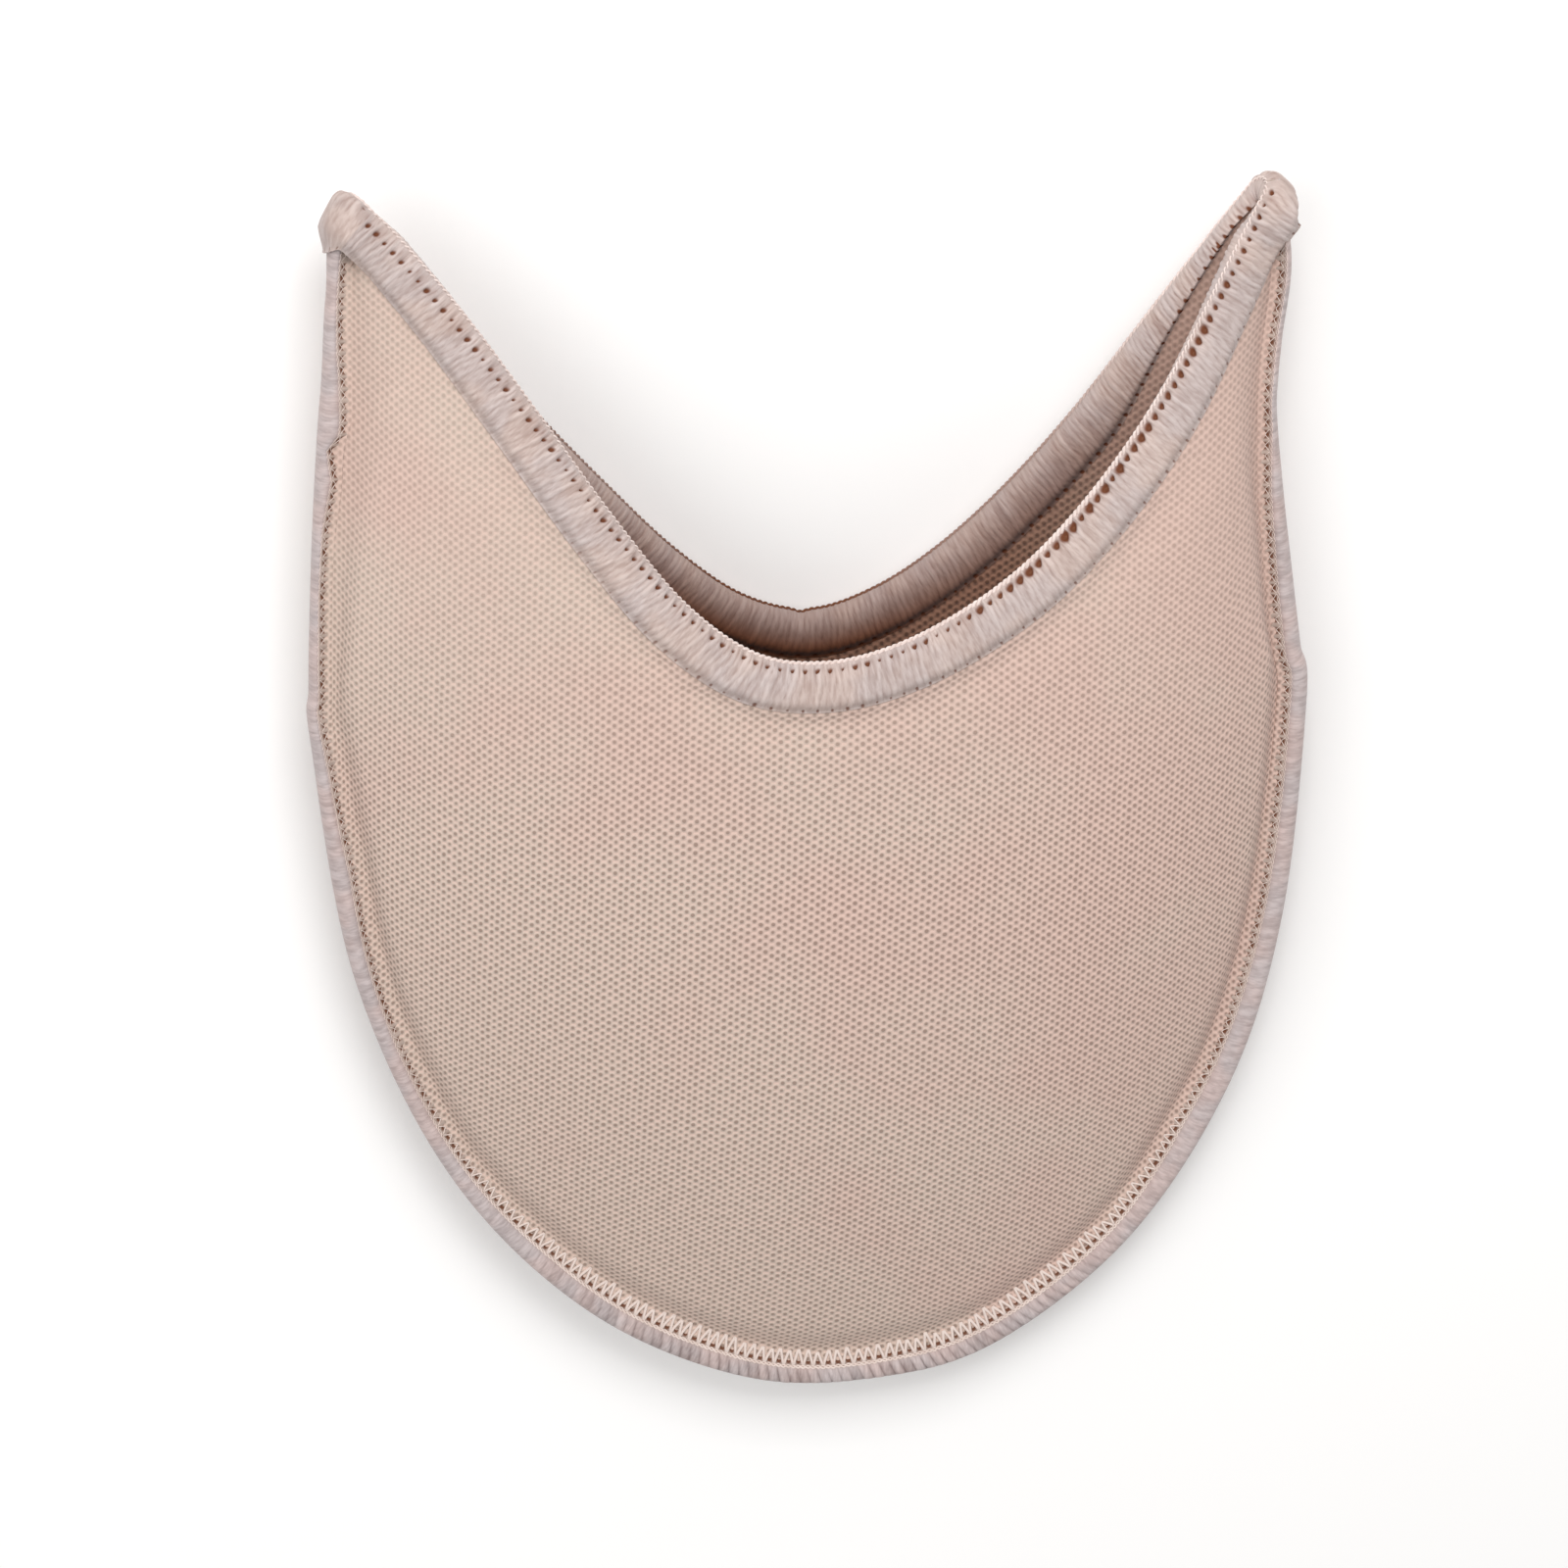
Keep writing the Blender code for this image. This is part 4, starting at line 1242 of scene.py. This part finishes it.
# The groove colour darkens the seam by fibre tone and by painted shade in the grooves. The hole colour is painted
# shade in the needle holes.
SEAM_GROOVE = (0.40, 0.36, 0.355)
SEAM_HOLE = (0.15, 0.065, 0.04)
SEAM_BED = (0.48, 0.385, 0.335)
seam_thread = thread_material(
    "seam thread", SEAM_GREY, SEAM_ROSE, SEAM_GROOVE, SEAM_HOLE, SEAM_BED, 0.08 * MM
)
seam_overlock.data.materials.append(seam_thread)
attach(seam_overlock, "root")
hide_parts("side_seam_binding")

# Seam loops
# The needle thread of the side seam: a locked line along the ribs' foot, and from each hole a
# pointed loop that reaches into the panel, long round the toe and short along the sides.
LOOP_REACH = 1.5 * MM
SIDE_LOOP_REACH = 0.3 * MM
LOOP_THREAD = 0.14 * MM
SIDE_THREAD = 0.035 * MM
LOOP_PROUD = 0.03 * MM
LOOP_SHARES = np.array((-0.46, -0.34, -0.18, -0.05, 0.05, 0.18, 0.34, 0.46))
LINE_THREAD = 0.10 * MM
LINE_WANDER = 0.07 * MM
LINE_STEPS = 6
LAY_REACH = 3.0 * MM



def surfaces(pieces):
    """The pieces' faces as search trees, as they are drawn."""
    graph = bpy.context.evaluated_depsgraph_get()
    return [BVHTree.FromObject(piece, graph) for piece in pieces]


def laid_on(points, sign, trees, proud):
    """The points moved up or down onto the outermost face there, and a little proud of it."""
    laid = points.copy()
    for k, (x, y, z) in enumerate(points):
        start = Vector((x, y, z + sign * LAY_REACH))
        hits = [tree.ray_cast(start, Vector((0.0, 0.0, -sign)), 2 * LAY_REACH)[0] for tree in trees]
        heights = [sign * hit.z for hit in hits if hit is not None]
        if heights:
            laid[k, 2] = sign * (max(heights) + proud)
    return laid


loop_dice = np.random.default_rng(3)
loop_marks = np.arange(seam_stitches) + 0.5
bpy.context.view_layer.update()
loops, loop_radii, lines, line_radii = [], [], [], []
for sign, panel in ((1.0, front_pad), (-1.0, back_pad)):
    trees = surfaces((panel, seam_overlock))
    reach_noise = loop_dice.uniform(0.75, 1.12, seam_stitches)
    lean_noise = loop_dice.uniform(-0.16, 0.16, seam_stitches)
    toe = toe_share(seam_share(loop_marks))
    reach = (SIDE_LOOP_REACH + (LOOP_REACH - SIDE_LOOP_REACH) * toe) * reach_noise
    for loop_share in LOOP_SHARES:
        at = loop_marks + loop_share + lean_noise * (1 - abs(loop_share) * 2)
        where = seam_share(at)
        points, into, _ = seam_frames(where)
        tip = 1 - (np.abs(loop_share) - 0.05) / 0.41
        place = ribbed_width(where) + reach * tip
        loops.append(laid_on(points + into * place[:, None], sign, trees, LOOP_PROUD))
        loop_radii.append(SIDE_THREAD + (LOOP_THREAD - SIDE_THREAD) * toe)
    line_marks = np.arange(seam_stitches * LINE_STEPS + 1) / LINE_STEPS
    line_share = seam_share(line_marks)
    points, into, _ = seam_frames(line_share)
    for phase in (0.0, np.pi):
        turn = 2 * np.pi * line_marks + phase
        place = ribbed_width(line_share) - 0.10 * MM + LINE_WANDER * np.cos(turn)
        laid = laid_on(points + into * place[:, None], sign, trees, LOOP_PROUD)
        laid[:, 2] += sign * 0.6 * LINE_WANDER * np.sin(turn)
        lines.append(laid)
        line_radii.append(SIDE_THREAD + (LINE_THREAD - SIDE_THREAD) * toe_share(line_share))

loop_points = np.array(loops).reshape(2, len(LOOP_SHARES), seam_stitches, 3)
loop_paths = loop_points.transpose(0, 2, 1, 3).reshape(-1, len(LOOP_SHARES), 3)
loop_sizes = np.array(loop_radii).reshape(2, len(LOOP_SHARES), seam_stitches)
loop_sizes = loop_sizes.transpose(0, 2, 1).reshape(-1, len(LOOP_SHARES))
seam_loops = add_threads("seam_loops", loop_paths, loop_sizes)
seam_line = add_threads("seam_line", np.array(lines), np.array(line_radii))
LOOP_CREAM = (0.74, 0.635, 0.585)
loop_thread = thread_material(
    "loop thread", LOOP_CREAM, LOOP_CREAM, CORD_GROOVE, SEAM_HOLE, SEAM_BED, 0.03 * MM
)
for piece in (seam_loops, seam_line):
    piece.data.materials.append(loop_thread)
    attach(piece, "root")

# Floor
# A seamless white sweep, lit so that only the shadow under the pad shows on it.
floor_mesh = bpy.data.meshes.new("floor")
FLOOR_HALF = 3.0
floor_corners = [(x * FLOOR_HALF, y * FLOOR_HALF, -0.02 * MM) for x, y in ((-1, -1), (1, -1), (1, 1), (-1, 1))]
floor_mesh.from_pydata(floor_corners, [], [(0, 1, 2, 3)])
floor = bpy.data.objects.new("floor", floor_mesh)
bpy.context.scene.collection.objects.link(floor)
floor_paint = bpy.data.materials.new("floor paint")
floor_paint.use_nodes = True
floor_paint.node_tree.nodes["Principled BSDF"].inputs["Base Color"].default_value = (0.93, 0.925, 0.92, 1)
floor_paint.node_tree.nodes["Principled BSDF"].inputs["Roughness"].default_value = 0.9
floor_mesh.materials.append(floor_paint)

# Light and camera
# Soft studio light from above and behind the horns, and a long lens over the pad at the
# photograph's angle.
world = bpy.data.worlds.new("studio")
bpy.context.scene.world = world
world.use_nodes = True
world.node_tree.nodes["Background"].inputs["Color"].default_value = (1.0, 0.99, 0.98, 1)
world.node_tree.nodes["Background"].inputs["Strength"].default_value = 0.62
bpy.context.scene.view_settings.view_transform = "Standard"


def add_light(name, place, aim, size, power, tint=(1.0, 1.0, 1.0)):
    """A square soft box that faces the point that it is aimed at."""
    light = bpy.data.lights.new(name, "AREA")
    light.size = size
    light.energy = power
    light.color = tint
    made = bpy.data.objects.new(name, light)
    made.location = place
    made.rotation_euler = (Vector(aim) - Vector(place)).to_track_quat("-Z", "Y").to_euler()
    bpy.context.scene.collection.objects.link(made)


add_light("key", (-0.32, 0.12, 0.54), (0.0, 0.0, 0.0), 0.45, 1.1)
add_light("back", (0.03, 0.36, 0.38), (0.0, 0.0, 0.0), 0.24, 1.5)

TILT = np.radians(20.0)
YAW = np.radians(6.0)
ROLL = np.radians(0.8)
DISTANCE = 376.4 * MM
LENS = 100.0
SENSOR = 36.0
FRAME_PIXELS = 1600
AIM = Vector((-1.05 * MM, 4.13 * MM, 8.0 * MM))
AIM_PIXEL = (818, 788)
away = Vector((-np.sin(YAW) * np.cos(TILT), np.sin(TILT), np.cos(YAW) * np.cos(TILT)))
level = Vector((np.cos(YAW), 0.0, np.sin(YAW)))
upright = away.cross(level)
right = level * np.cos(ROLL) - upright * np.sin(ROLL)
top = upright * np.cos(ROLL) + level * np.sin(ROLL)
camera_data = bpy.data.cameras.new("camera")
camera_data.lens = LENS
camera_data.sensor_width = SENSOR
camera_data.shift_x = (FRAME_PIXELS / 2 - AIM_PIXEL[0]) / FRAME_PIXELS
camera_data.shift_y = (AIM_PIXEL[1] - FRAME_PIXELS / 2) / FRAME_PIXELS
camera = bpy.data.objects.new("camera", camera_data)
turn = Matrix((right, top, away)).transposed()
camera.matrix_world = Matrix.Translation(AIM + away * DISTANCE) @ turn.to_4x4()
bpy.context.scene.collection.objects.link(camera)
bpy.context.scene.camera = camera
